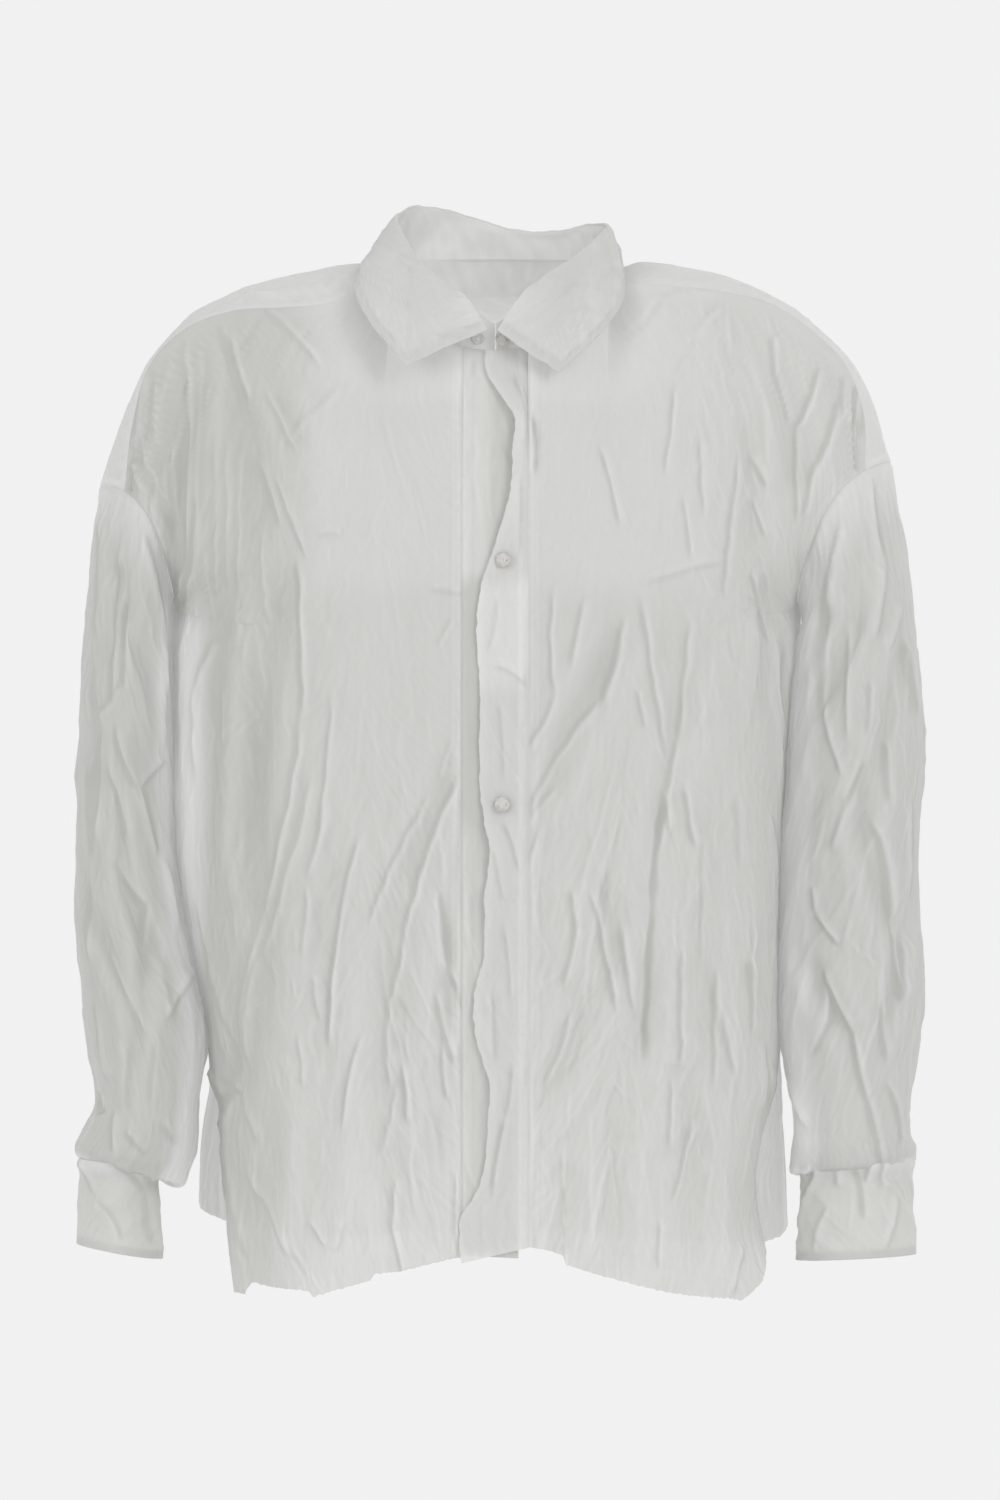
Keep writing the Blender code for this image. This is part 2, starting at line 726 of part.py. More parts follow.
def cloth_wall(name, grid, colour, wall=WALL, closed=False, sign=1):
    """A closed wall of cloth whose outer side is the grid, given in millimetres."""
    grid = grid * MM
    inside = grid - sign * normals(grid, closed) * wall
    draw_back(inside, 0, 1)
    draw_back(inside, -1, -2)
    if not closed:
        draw_back(inside.swapaxes(0, 1), 0, 1)
        draw_back(inside.swapaxes(0, 1), -1, -2)
    rows, columns = grid.shape[:2]
    mesh = bpy.data.meshes.new(name)
    points = np.vstack([grid.reshape(-1, 3), inside.reshape(-1, 3)])
    offset = rows * columns
    faces = []
    last = columns if closed else columns - 1
    for r in range(rows - 1):
        for c in range(last):
            a = r * columns + c
            b = r * columns + (c + 1) % columns
            for corners in halves(points, a, a + columns, b + columns, b):
                faces.append(corners)
                faces.append([offset + i for i in reversed(corners)])
    for c in range(last):
        top_a, top_b = c, (c + 1) % columns
        low_a, low_b = (rows - 1) * columns + c, (rows - 1) * columns + (c + 1) % columns
        faces.append([top_a, top_b, offset + top_b, offset + top_a])
        faces.append([low_b, low_a, offset + low_a, offset + low_b])
    if not closed:
        for r in range(rows - 1):
            a, b = r * columns, (r + 1) * columns
            faces.append([b, a, offset + a, offset + b])
            a, b = r * columns + columns - 1, (r + 1) * columns + columns - 1
            faces.append([a, b, offset + b, offset + a])
    if sign < 0:
        faces = [face[::-1] for face in faces]
    mesh.from_pydata(points.tolist(), [], faces)
    mesh.shade_smooth()
    return place(name, mesh, colour)


def place(name, mesh, colour):
    """Puts a mesh into the scene with its own material."""
    thing = bpy.data.objects.new(name, mesh)
    bpy.context.scene.collection.objects.link(thing)
    material = bpy.data.materials.new(name)
    material.use_nodes = True
    shader = material.node_tree.nodes["Principled BSDF"]
    shader.inputs["Base Color"].default_value = (*colour, 1)
    shader.inputs["Roughness"].default_value = 0.9
    mesh.materials.append(material)
    return thing


def make_front(side):
    """One front, from the placket's seam round to the side seam."""
    neck_shares = np.linspace(0, 1, NECK_COLUMNS)
    seam_shares = np.linspace(0, 1, SHOULDER_COLUMNS)
    top, bottom = -FRONT_LEVELS["middle_z"][0], -FRONT_LEVELS["middle_z"][-1]
    chest = np.linspace(top, CHEST_LEVEL, CHEST_ROWS)
    levels = np.concatenate([chest, np.linspace(CHEST_LEVEL, bottom, LOWER_ROWS + 1)[1:]])
    grid, shares = front_form(side, neck_shares, seam_shares, levels)
    folds = FRONT_FOLDS[side]
    height = fold_height(grid[:, :, 0], grid[:, :, 2], folds,
                         (folds["x1"], folds["z1"]), (folds["x2"], folds["z2"]))
    sign = 1 if side == LEFT else -1
    grid = raised(grid, height * edge_fade(shares, levels), sign=sign)
    seam_gap(grid, "last")
    cloth_wall(("front_right", "front_left")[side], grid, CLOTH, sign=sign)


def make_back():
    """The back panel below the yoke."""
    shares = np.linspace(0, 1, BACK_COLUMNS)
    levels = np.linspace(-BACK_LEVELS["middle_z"][0], -BACK_LEVELS["middle_z"][-1], BACK_ROWS)
    grid = back_form(shares, levels)
    height = fold_height(grid[:, :, 0], grid[:, :, 2], BACK_FOLDS,
                         (BACK_FOLDS["x1"], BACK_FOLDS["z1"]), (BACK_FOLDS["x2"], BACK_FOLDS["z2"]))
    grid = raised(grid, height * edge_fade(shares, levels), sign=-1)
    for line in ("top", "first", "last"):
        seam_gap(grid, line, 2.0)
    cloth_wall("back", grid, CLOTH, sign=-1)


def yoke_form(neck_shares, shoulder_shares, across_shares):
    """The yoke: its rows run from the front seams and neckline to the back seam."""
    lines = []
    for seam, ends in ((YOKE_FRONT, YOKE_FRONT_END), (RIDGE, (0, 0)), (YOKE_BACK, YOKE_BACK_END)):
        halves = []
        for side in (RIGHT, LEFT):
            sign = -1 if side == RIGHT else 1
            first = {
                id(YOKE_FRONT): neckline(sign * NECK_CORNER_ANGLE),
                id(RIDGE): neckline(sign * 100) + np.array([sign * 4, 6, -1]),
                id(YOKE_BACK): np.array([sign * 66 + 2, 105, -89])}[id(seam)]
            line = yoke_line(side, seam, first, armhole(side, ends[side]))
            halves.append(smooth_line(line, shoulder_shares))
        lines.append(halves)
    angles = -NECK_CORNER_ANGLE - (360 - 2 * NECK_CORNER_ANGLE) * neck_shares
    neck = neckline(angles)
    back = smooth_line([lines[2][RIGHT][0], YOKE_BACK_MIDDLE, lines[2][LEFT][0]], neck_shares)
    middle = (neck + back) / 2
    bulge = np.sin(np.pi * neck_shares)
    ends = np.stack([lines[1][RIGHT][0], lines[1][LEFT][0]])
    near = 0.5 + 0.5 * np.cos(np.pi * np.clip(2 * neck_shares, 0, 1))
    far = 0.5 + 0.5 * np.cos(np.pi * np.clip(2 * (1 - neck_shares), 0, 1))
    ridge = middle + near[:, None] * (ends[0] - middle[0]) + far[:, None] * (ends[1] - middle[-1])
    ridge[:, 1] += 7 * bulge
    ridge[:, 2] += 5 * bulge
    front_row = np.vstack([lines[0][RIGHT][::-1], neck[1:-1], lines[0][LEFT]])
    ridge_row = np.vstack([lines[1][RIGHT][::-1], ridge[1:-1], lines[1][LEFT]])
    back_row = np.vstack([lines[2][RIGHT][::-1], back[1:-1], lines[2][LEFT]])
    for side in (RIGHT, LEFT):
        end = (0, -1)[side]
        ridge_row[end] = armhole(side, (YOKE_FRONT_END[side] + YOKE_BACK_END[side]) / 2)
    return arch(front_row, ridge_row, back_row, across_shares)


def arch(start, middle, end, shares):
    """Rows of points on the smooth arches from one line over a second to a third."""
    first = np.linalg.norm(middle - start, axis=1)
    second = np.linalg.norm(end - middle, axis=1)
    split = (first / (first + second))[None, :, None]
    t = shares[:, None, None]
    before = (t - split) * (t - 1) / (split)
    at_middle = t * (1 - t) / (split * (1 - split))
    after = t * (t - split) / (1 - split)
    return before * start + at_middle * middle + after * end


def make_yoke():
    """The yoke over both shoulders and across the back of the neck."""
    grid = yoke_form(np.linspace(0, 1, 11), np.linspace(0, 1, SHOULDER_COLUMNS), np.linspace(0, 1, 8))
    for line, amount in (("top", 1.5), ("first", 2.5), ("last", 2.5)):
        seam_gap(grid, line, amount)
    cloth_wall("yoke", grid, CLOTH, sign=-1)


def make_collar_stand():
    """The collar's upright band round the neck, open at the front."""
    angles = np.linspace(-2, -358, 31)
    foot = neckline(angles)
    roll = roll_line(angles)
    foot[:, 2] += 3 * SEAM_GAP / MM
    t = np.linspace(0, 1, 3)[:, None, None]
    grid = roll * (1 - t) + foot * t
    cloth_wall("collar_stand", grid, CLOTH, sign=-1)


def leaf_form(angles, shares):
    """The collar leaf's underside, from the roll line out and down to its edge."""
    points = rows_of(LEAF_EDGE)
    edge = spline(LEAF_EDGE["angle"], points)(angles)
    straight = np.stack([np.interp(angles, LEAF_EDGE["angle"], points[:, k]) for k in range(3)], 1)
    at_front = (angles < LEAF_TURN[0]) | (angles > LEAF_TURN[1])
    edge = np.where(at_front[:, None], straight, edge)
    roll = roll_line(angles)
    away = edge - roll
    away[:, 2] = 0
    away /= np.linalg.norm(away, axis=1, keepdims=True)
    lift = roll + 9 * away
    lift[:, 2] += 5
    t = shares[:, None, None]
    start = roll + np.array([0, 0, 0.8])
    return start * (1 - t) ** 2 + lift * 2 * t * (1 - t) + edge * t**2


def make_collar_leaf():
    """The collar's turned-down leaf, with its two points at the front."""
    grid = leaf_form(np.linspace(-340, -20, 33), np.linspace(0, 1, 6) ** 1.2)
    grid = grid + normals(grid, False) * WALL / MM
    cloth_wall("collar_leaf", grid, CLOTH)


def band_form(free_x, seam_x, levels, shares, hem, lift, depth):
    """A placket band: rows from the neckline down, columns from the free edge to the seam."""
    across = free_x[:, None] + (seam_x - free_x[:, None]) * shares[None, :]
    middle = NECKLINE["middle_x"][0]
    top = neckline(np.degrees(np.arcsin((across - middle) / NECK_HALF_WIDTH)))
    low = hem[0] + (hem[1] - hem[0]) * shares
    z = top[:, :, 2] + (low[None, :] - top[:, :, 2]) * levels[:, None]
    y = front_middle(z) + (top[:, :, 1] - front_middle(top[:, :, 2])) * ease(1 - 6 * levels)[:, None]
    y = y + depth - lift[:, None] * (1 - shares[None, :]) ** 1.5
    return np.stack([across, y, z], 2)


def make_bands():
    """The two bands of the placket, the wearer's left one on top."""
    levels = np.linspace(0, 1, 34)
    z = -60 - 592 * levels
    free = spline(-OVER_BAND_EDGE["z"], OVER_BAND_EDGE["x"])(-z)
    lift = spline(-OVER_BAND_EDGE["z"], OVER_BAND_EDGE["lift"])(-z)
    seam = BAND_SEAM_X[LEFT] - 1.5 * SEAM_GAP / MM
    over = band_form(free, seam, levels, np.linspace(0, 1, 4), OVER_BAND_HEM, lift, 0)
    cloth_wall("placket_over", over, CLOTH, wall=BAND_WALL)
    levels = np.linspace(0, 1, 18)
    free = np.full(len(levels), UNDER_BAND_REACH)
    seam = BAND_SEAM_X[RIGHT] + 1.5 * SEAM_GAP / MM
    under = band_form(free, seam, levels, np.linspace(0, 1, 3), UNDER_BAND_HEM,
                      np.full(len(levels), -UNDER_BAND_DEPTH), 0)
    cloth_wall("placket_under", under, CLOTH, wall=BAND_WALL, sign=-1)


def make_sleeve(side):
    """One sleeve, from the armhole to the cuff's seam."""
    angles = np.arange(RING_SIDES) * 360 / RING_SIDES
    rings = SLEEVE_RINGS[side]
    knots = ring_levels(rings, (armhole(side, 0)[[0, 2]], armhole(side, 180)[[0, 2]]))
    levels = np.concatenate([np.linspace(0, knots[-4], SLEEVE_ROWS), knots[-3:]])
    grid = tube_form(rings, knots, angles, levels, armhole(side, angles))
    seam_gap(grid, "top", 4.5)
    folds = SLEEVE_FOLDS[side]
    around = np.broadcast_to(angles, grid.shape[:2])
    share = levels / knots[-1]
    fade = ease(share / 0.1) * ease((0.85 - share) / 0.1)
    height = sum(
        fold_height(around + turn, grid[:, :, 2], folds,
                    (folds["angle1"], folds["z1"]), (folds["angle2"], folds["z2"]))
        for turn in (0, 360))
    sign = 1 if side == RIGHT else -1
    grid = raised(grid, height * fade[:, None], closed=True, sign=sign)
    cloth_wall(("sleeve_right", "sleeve_left")[side], grid, CLOTH, closed=True, sign=sign)


def make_cuff(side):
    """One cuff, the band that closes the sleeve's lower end."""
    angles = np.arange(RING_SIDES) * 360 / RING_SIDES
    rings = CUFF_RINGS[side]
    knots = ring_levels(rings)
    grid = tube_form(rings, knots, angles, knots)
    sign = 1 if side == RIGHT else -1
    cloth_wall(("cuff_right", "cuff_left")[side], grid, CLOTH_SHADE, wall=CUFF_WALL, closed=True, sign=sign)


def make_button(number, x, z, seat_y, share):
    """A small domed knot of cloth on the placket."""
    radius = BUTTON_RADIUS * share * MM
    height = BUTTON_HEIGHT * share * MM
    size = Matrix.Diagonal((radius, height / 2, radius, 1))
    y = seat_y * MM - SEAM_GAP - height / 2
    shape = bmesh.new()
    bmesh.ops.create_uvsphere(
        shape, u_segments=10, v_segments=5, radius=1,
        matrix=Matrix.Translation((x * MM, y, z * MM)) @ size @ Matrix.Rotation(np.pi / 2, 4, "X"))
    mesh = bpy.data.meshes.new(f"button_{number}")
    shape.to_mesh(mesh)
    shape.free()
    mesh.shade_smooth()
    place(f"button_{number}", mesh, BUTTON_COLOUR)


def main():
    for thing in list(bpy.data.objects):
        bpy.data.objects.remove(thing)
    for side in (RIGHT, LEFT):
        make_front(side)
        make_sleeve(side)
        make_cuff(side)
    make_back()
    make_yoke()
    make_collar_stand()
    make_collar_leaf()
    make_bands()
    for number, row in enumerate(zip(*BUTTONS.values()), start=1):
        make_button(number, *row)


main()
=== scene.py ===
"""The look of the crumpled voile shirt: fine cloth on each solid's form, its creases, trim and light.

Panels follow the part's own tables, in millimetres and degrees. The creases of the front are
given as they lie in the front view, in steps of 0.66 mm from its left edge and its top.
"""

import bmesh
import bpy
import numpy as np
from mathutils import Matrix, Vector


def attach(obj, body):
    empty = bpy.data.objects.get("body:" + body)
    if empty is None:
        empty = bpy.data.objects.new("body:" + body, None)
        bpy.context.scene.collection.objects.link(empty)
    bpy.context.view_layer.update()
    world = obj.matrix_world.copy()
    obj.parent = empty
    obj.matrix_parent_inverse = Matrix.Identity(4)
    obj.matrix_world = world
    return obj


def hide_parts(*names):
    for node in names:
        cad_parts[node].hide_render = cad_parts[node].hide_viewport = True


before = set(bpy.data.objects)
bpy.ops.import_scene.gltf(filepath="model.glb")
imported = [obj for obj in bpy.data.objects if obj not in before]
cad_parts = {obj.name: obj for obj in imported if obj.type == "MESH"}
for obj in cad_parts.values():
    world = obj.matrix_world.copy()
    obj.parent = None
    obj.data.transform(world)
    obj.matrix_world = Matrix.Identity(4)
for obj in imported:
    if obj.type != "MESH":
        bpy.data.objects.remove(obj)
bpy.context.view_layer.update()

MM = 0.001
RIGHT, LEFT = 0, 1  # the wearer's sides; the right one is at -X

# Driving dimensions
WALL = 1.2 * MM
BAND_SEAM_X = (-22.5, 20.5)
UNDER_BAND_DEPTH = 3.2
UNDER_BAND_REACH = 14.0
NECK_HALF_WIDTH = 73.0
NECK_HALF_DEPTH = 82.0
NECK_MIDDLE_Y = -16.0
NECK_CORNER_ANGLE = 77.0
BUTTON_RADIUS = 5.2
FOLD_LIP = 0.45
HEM_START = 0.72
FRONT_LENGTH = 650.0
NECK_SHARE = 0.24



def table(columns, *rows):
    """A table's named columns, each as an array."""
    return {name: np.array(values, float) for name, values in zip(columns.split(), zip(*rows))}


# The neckline, from the front (0) round to the back (180), the same on both sides
NECKLINE = table(
    "angle middle_x z",
    (0, -1, -60),
    (16, -1, -58),
    (35, 0, -50),
    (60, 1, -31),
    (77, 3, -14),
    (110, 4, 1),
    (150, 4, 5),
    (180, 4, 6))

# The line on which the collar turns down, above the neckline, at -X for angles below 0
ROLL_LINE = table(
    "angle spread inward rise",
    (-180, -2.0, 0.0, 20),
    (-165, -2.0, 0.0, 26),
    (-145, -2.0, 0.0, 33),
    (-125, -2.0, 0.5, 34),
    (-110, -3.0, 1.0, 33),
    (-77, -5.0, 2.0, 36),
    (-60, -8.0, 3.0, 37),
    (-35, -6.0, 4.5, 37),
    (-16, -2.0, 4.0, 32),
    (0, -2.0, 3.0, 18),
    (16, -2.0, 4.0, 35),
    (35, -6.0, 4.5, 43),
    (60, -8.0, 3.0, 38),
    (77, -4.0, 2.0, 34),
    (95, -3.0, 1.0, 27),
    (110, -2.0, 1.0, 24),
    (130, -2.0, 0.5, 22),
    (150, -2.0, 0.0, 18),
    (165, -2.0, 0.0, 17),
    (180, -2.0, 0.0, 20))

# Each armhole: its middle, the way from there to its top, its lean and its half depth
ARMHOLE = table(
    "middle_x middle_z top_x top_z bow_x bow_z half_depth",
    (-237.0, -186, -25.0, 39, 7, 20, 78),
    (228.5, -178, 31.5, 47, -10, 18, 78))

# The yoke's front seam between the collar and the armhole, on each side
YOKE_FRONT = (
    table(
        "x y z",
        (-90, -45, -18),
        (-112, -51, -27),
        (-142, -53, -30),
        (-172, -53, -32),
        (-203, -53, -43),
        (-227, -53, -66),
        (-239, -56, -105)),
    table(
        "x y z",
        (95, -43, -14),
        (120, -49, -16),
        (150, -53, -20),
        (178, -53, -27),
        (205, -53, -44),
        (229, -53, -68),
        (241, -55, -101)))
YOKE_FRONT_END = (60, 52)

# The ridge of each shoulder, from beside the neck to the top of the armhole
RIDGE = (
    table(
        "x y z",
        (-90, 8, 1),
        (-112, 6, -2),
        (-142, 4, -9),
        (-172, 2, -19),
        (-205, 0, -39),
        (-235, 0, -76),
        (-252, 0, -117)),
    table(
        "x y z",
        (95, 8, 1),
        (120, 6, -2),
        (150, 4, -9),
        (178, 2, -21),
        (207, 0, -40),
        (235, 0, -70),
        (251, 0, -103)))

# The yoke's back seam, at the same stations
YOKE_BACK = (
    table(
        "x y z",
        (-82, 103, -90),
        (-106, 100, -92),
        (-136, 96, -97),
        (-164, 91, -104),
        (-192, 86, -114),
        (-218, 80, -127),
        (-236, 75, -140)),
    table(
        "x y z",
        (86, 103, -90),
        (110, 100, -92),
        (138, 96, -97),
        (165, 91, -103),
        (192, 86, -112),
        (216, 80, -124),
        (232, 75, -134)))
YOKE_BACK_END = (-68, -68)
YOKE_BACK_MIDDLE = (2, 107, -88)

# Levels of both fronts, from the top down: the middle of the chest and the section's form
FRONT_LEVELS = table(
    "middle_z middle_y power turn",
    (-59, -96, 2.0, 60),
    (-112, -108, 2.1, 62),
    (-165, -116, 2.2, 70),
    (-208, -120, 2.4, 82),
    (-245, -122, 2.6, 90),
    (-312, -125, 2.7, 90),
    (-400, -127, 2.7, 90),
    (-468, -126, 2.6, 90),
    (-525, -124, 2.5, 90),
    (-575, -122, 2.5, 88),
    (-615, -121, 2.4, 85),
    (-650, -120, 2.4, 82))
ARMHOLE_LEVELS = (78, 105, 140)

# Where each front ends at the side, from the armpit down; below 540 it is the slit's edge
FRONT_SIDE = (
    table(
        "x y z",
        (-212, 0, -225),
        (-213, 2, -300),
        (-210, 3, -395),
        (-199, 3, -465),
        (-188, 1, -522),
        (-181, -8, -572),
        (-178, -14, -612),
        (-175, -18, -650)),
    table(
        "x y z",
        (197, 0, -225),
        (193, 2, -300),
        (188, 3, -395),
        (187, 3, -465),
        (186, 1, -522),
        (174, -8, -572),
        (171, -14, -612),
        (178, -18, -650)))

# The lower edge of each front, from the placket to the side
FRONT_HEM = (
    table(
        "across z",
        (0.00, -653),
        (0.20, -661),
        (0.35, -668),
        (0.47, -678),
        (0.56, -673),
        (0.70, -671),
        (0.86, -672),
        (1.00, -656)),
    table(
        "across z",
        (0.00, -645),
        (0.12, -650),
        (0.30, -667),
        (0.50, -678),
        (0.68, -682),
        (0.84, -670),
        (1.00, -640)))

# Levels of the back, from the yoke down
BACK_LEVELS = table(
    "middle_z middle_y power",
    (-88, 107, 2.0),
    (-140, 112, 2.0),
    (-192, 115, 2.2),
    (-240, 115, 2.5),
    (-312, 114, 2.6),
    (-400, 114, 2.6),
    (-468, 114, 2.6),
    (-525, 114, 2.5),
    (-575, 114, 2.5),
    (-620, 115, 2.4))
BACK_ARMHOLE_LEVELS = (-92, -130)
BACK_SIDE = (
    table(
        "x y z",
        (-212, 0, -225),
        (-213, 2, -300),
        (-210, 3, -395),
        (-199, 3, -465),
        (-188, 2, -522),
        (-195, 8, -572),
        (-197, 12, -618)),
    table(
        "x y z",
        (197, 0, -225),
        (193, 2, -300),
        (188, 3, -395),
        (187, 3, -465),
        (186, 2, -522),
        (190, 8, -572),
        (192, 12, -618)))
BACK_HEM = table(
    "across z",
    (0.00, -619),
    (0.10, -632),
    (0.25, -645),
    (0.50, -640),
    (0.75, -648),
    (0.92, -645),
    (1.00, -634))

# Each sleeve's rings, from the armhole down: outer and inner side, and the depth between
SLEEVE_RINGS = (
    table(
        "outer_x outer_z inner_x inner_z middle_y half_depth",
        (-268, -196, -214.5, -258, 0, 77),
        (-273, -275, -215.5, -302, -3, 73),
        (-276, -350, -215, -360, -6, 68),
        (-278, -407, -212.5, -410, -10, 64),
        (-276, -460, -203.5, -462, -13, 61),
        (-269, -512, -193.5, -514, -17, 60),
        (-264, -552, -197, -556, -20, 58),
        (-274, -575, -204, -596, -22, 58),
        (-276.8, -582, -209.5, -606, -23, 61),
        (-276, -586.8, -215, -605, -24, 58),
        (-273, -588.8, -222.5, -592.8, -24, 52.8)),
    table(
        "outer_x outer_z inner_x inner_z middle_y half_depth",
        (271, -196, 208, -250, 0, 77),
        (278, -270, 195.8, -296, -3, 72),
        (281, -322, 193.5, -340, -6, 68),
        (278, -380, 191, -386, -9, 63),
        (279, -430, 190, -434, -12, 59),
        (282, -478, 189.8, -480, -15, 56),
        (276, -532, 190.8, -535, -18, 53),
        (272, -572, 195, -574, -21, 51),
        (276.5, -586, 193.5, -600, -22, 54),
        (276, -589.5, 197, -600, -23, 51),
        (273, -588, 200.5, -591, -23, 45.5)))

# Each cuff's rings, from the seam down
CUFF_RINGS = (
    table(
        "outer_x outer_z inner_x inner_z middle_y half_depth",
        (-272.5, -589.3, -223, -593.3, -24, 52.2),
        (-275, -612, -222.5, -614, -24, 52),
        (-276.5, -634, -221, -640, -24, 53),
        (-277, -645, -220, -655, -24, 54)),
    table(
        "outer_x outer_z inner_x inner_z middle_y half_depth",
        (272.4, -588.6, 201.1, -591.6, -23, 45),
        (274.5, -612, 200, -614, -23, 45),
        (276, -636, 198, -640, -23, 46.5),
        (276, -652, 196.5, -656, -23, 47)))

# The collar leaf's outer edge, by its station round the neckline; its points lie at -300 and -60
LEAF_EDGE = table(
    "angle x y z",
    (-340, 0, -112, -47),
    (-325, 20, -111, -62),
    (-300, 41, -107, -75),
    (-285, 66, -87, -50),
    (-270, 82.5, -60, -25),
    (-255, 81, -24, 4),
    (-240, 80, 12, 9),
    (-210, 52, 82, 4),
    (-180, 3, 98, 2),
    (-150, -46, 82, 4),
    (-120, -77, 14, 8),
    (-105, -86, -22, 1),
    (-90, -93, -58, -19),
    (-75, -81, -88, -44),
    (-60, -59, -108, -71),
    (-35, -32, -112, -58),
    (-20, -6, -112, -47))
LEAF_TURN = (-285, -75)
LEAF_LIFT = (6, 2.5)

# The over band's free edge, from the neckline down
OVER_BAND_EDGE = table(
    "z x lift",
    (-50, -8, 2.0),
    (-73, -7, 2.6),
    (-92, 4, 3.2),
    (-104, 11, 4.0),
    (-122, 10, 4.0),
    (-150, 9, 3.4),
    (-182, 0, 3.0),
    (-212, -10, 2.6),
    (-290, -11, 2.4),
    (-355, -10, 2.6),
    (-385, -5, 3.4),
    (-415, -8, 2.6),
    (-455, -9, 2.6),
    (-480, -15, 3.0),
    (-505, -14, 2.6),
    (-535, -5, 3.6),
    (-560, -6, 3.0),
    (-605, -13, 3.0),
    (-620, -22, 3.4),
    (-654, -24, 3.4))
OVER_BAND_HEM = (-655, -645)
UNDER_BAND_HEM = (-652, -650)

BUTTONS = table(
    "x z seat_y radius_share",
    (-13, -52, -95.8, 0.85),
    (4, -52, -96.8, 1.0),
    (4, -197, -120.7, 1.0),
    (3.5, -356, -127.5, 1.0))

# Large folds of the fronts and back, seen from the front: a line, its sideways bow, width and depth
FRONT_FOLDS = (
    table(
        "x1 z1 x2 z2 bow width depth",
        (-196, -50, -214, -200, -4, 13, 11.0),
        (-171, -75, -152, -190, 2, 10, 4.5),
        (-146, -85, -128, -125, 2, 8, 2.5),
        (-130, -190, -154, -435, -12, 11, 5.5),
        (-150, -430, -184, -575, 8, 10, 5.0),
        (-178, -200, -186, -420, -5, 10, 4.5),
        (-158, -270, -166, -400, 4, 9, 4.0),
        (-21, -320, -66, -490, -8, 11, 5.0),
        (-100, -385, -107, -510, -5, 10, 4.5),
        (-38, -405, -30, -520, 5, 9, 4.0),
        (-67, -470, -62, -650, -3, 11, 5.5),
        (-112, -500, -122, -672, 4, 11, 5.5),
        (-146, -560, -160, -670, 3, 10, 4.5),
        (-42, -560, -44, -655, 0, 9, 3.5)),
    table(
        "x1 z1 x2 z2 bow width depth",
        (186, -58, 199, -150, 4, 12, 8.0),
        (165, -100, 172, -200, -3, 9, 4.0),
        (82, -220, 24, -360, 10, 11, 5.0),
        (95, -235, 34, -350, -8, 9, 3.5),
        (126, -275, 110, -400, -4, 10, 4.5),
        (176, -205, 180, -300, 3, 9, 5.5),
        (68, -405, 78, -475, 3, 9, 4.0),
        (100, -450, 93, -530, 2, 9, 4.0),
        (58, -485, 24, -565, 5, 10, 4.5),
        (140, -420, 150, -560, -6, 10, 4.5),
        (120, -520, 132, -675, 4, 11, 5.5),
        (80, -560, 84, -668, -3, 10, 5.0),
        (45, -590, 42, -655, 2, 9, 4.0),
        (160, -600, 158, -675, 0, 8, 3.5)))
BACK_FOLDS = table(
    "x1 z1 x2 z2 bow width depth",
    (-150, -120, -176, -330, -8, 12, 5.0),
    (-96, -110, -110, -300, 6, 12, 4.0),
    (-40, -105, -62, -380, -10, 13, 5.0),
    (20, -110, 12, -330, 6, 12, 4.5),
    (84, -110, 74, -370, -8, 13, 5.0),
    (140, -120, 164, -340, 8, 12, 5.0),
    (-140, -360, -118, -620, 8, 13, 5.5),
    (-70, -420, -80, -640, -6, 12, 5.0),
    (-14, -400, 2, -640, 8, 13, 5.5),
    (60, -430, 48, -640, -6, 12, 5.0),
    (116, -380, 132, -640, 8, 13, 5.5),
    (166, -420, 158, -620, 4, 10, 4.0))

# Large folds of the sleeves: a line by angle round the sleeve (0 outer, 90 front) and height
SLEEVE_FOLDS = (
    table(
        "angle1 z1 angle2 z2 bow width depth",
        (60, -190, 130, -300, 6, 10, 4.5),
        (20, -240, 70, -380, 5, 10, 4.5),
        (80, -340, 120, -460, -6, 10, 5.0),
        (30, -400, 90, -500, 6, 10, 5.0),
        (110, -440, 60, -550, 6, 9, 4.5),
        (20, -520, 60, -575, 3, 8, 4.0),
        (200, -240, 250, -400, 8, 11, 4.5),
        (300, -220, 270, -380, 6, 11, 4.5),
        (240, -420, 300, -540, 6, 11, 5.0),
        (170, -320, 200, -480, 4, 10, 4.0)),
    table(
        "angle1 z1 angle2 z2 bow width depth",
        (70, -180, 120, -290, 5, 10, 4.5),
        (30, -230, 80, -370, 6, 10, 4.5),
        (90, -330, 50, -450, 6, 10, 4.5),
        (130, -460, 70, -585, -8, 10, 5.5),
        (40, -430, 70, -540, 5, 9, 4.5),
        (10, -500, 40, -575, 4, 9, 4.0),
        (210, -230, 240, -400, 8, 11, 4.5),
        (290, -240, 320, -420, 6, 11, 4.5),
        (250, -430, 290, -560, 6, 11, 5.0),
        (170, -340, 190, -500, 4, 10, 4.0)))

# The front view's frame: its step, and where the origin lies in it
VIEW_STEP = 0.66
VIEW_ORIGIN = (497, 264)
VIEW_SIZE = (1000, 1500)

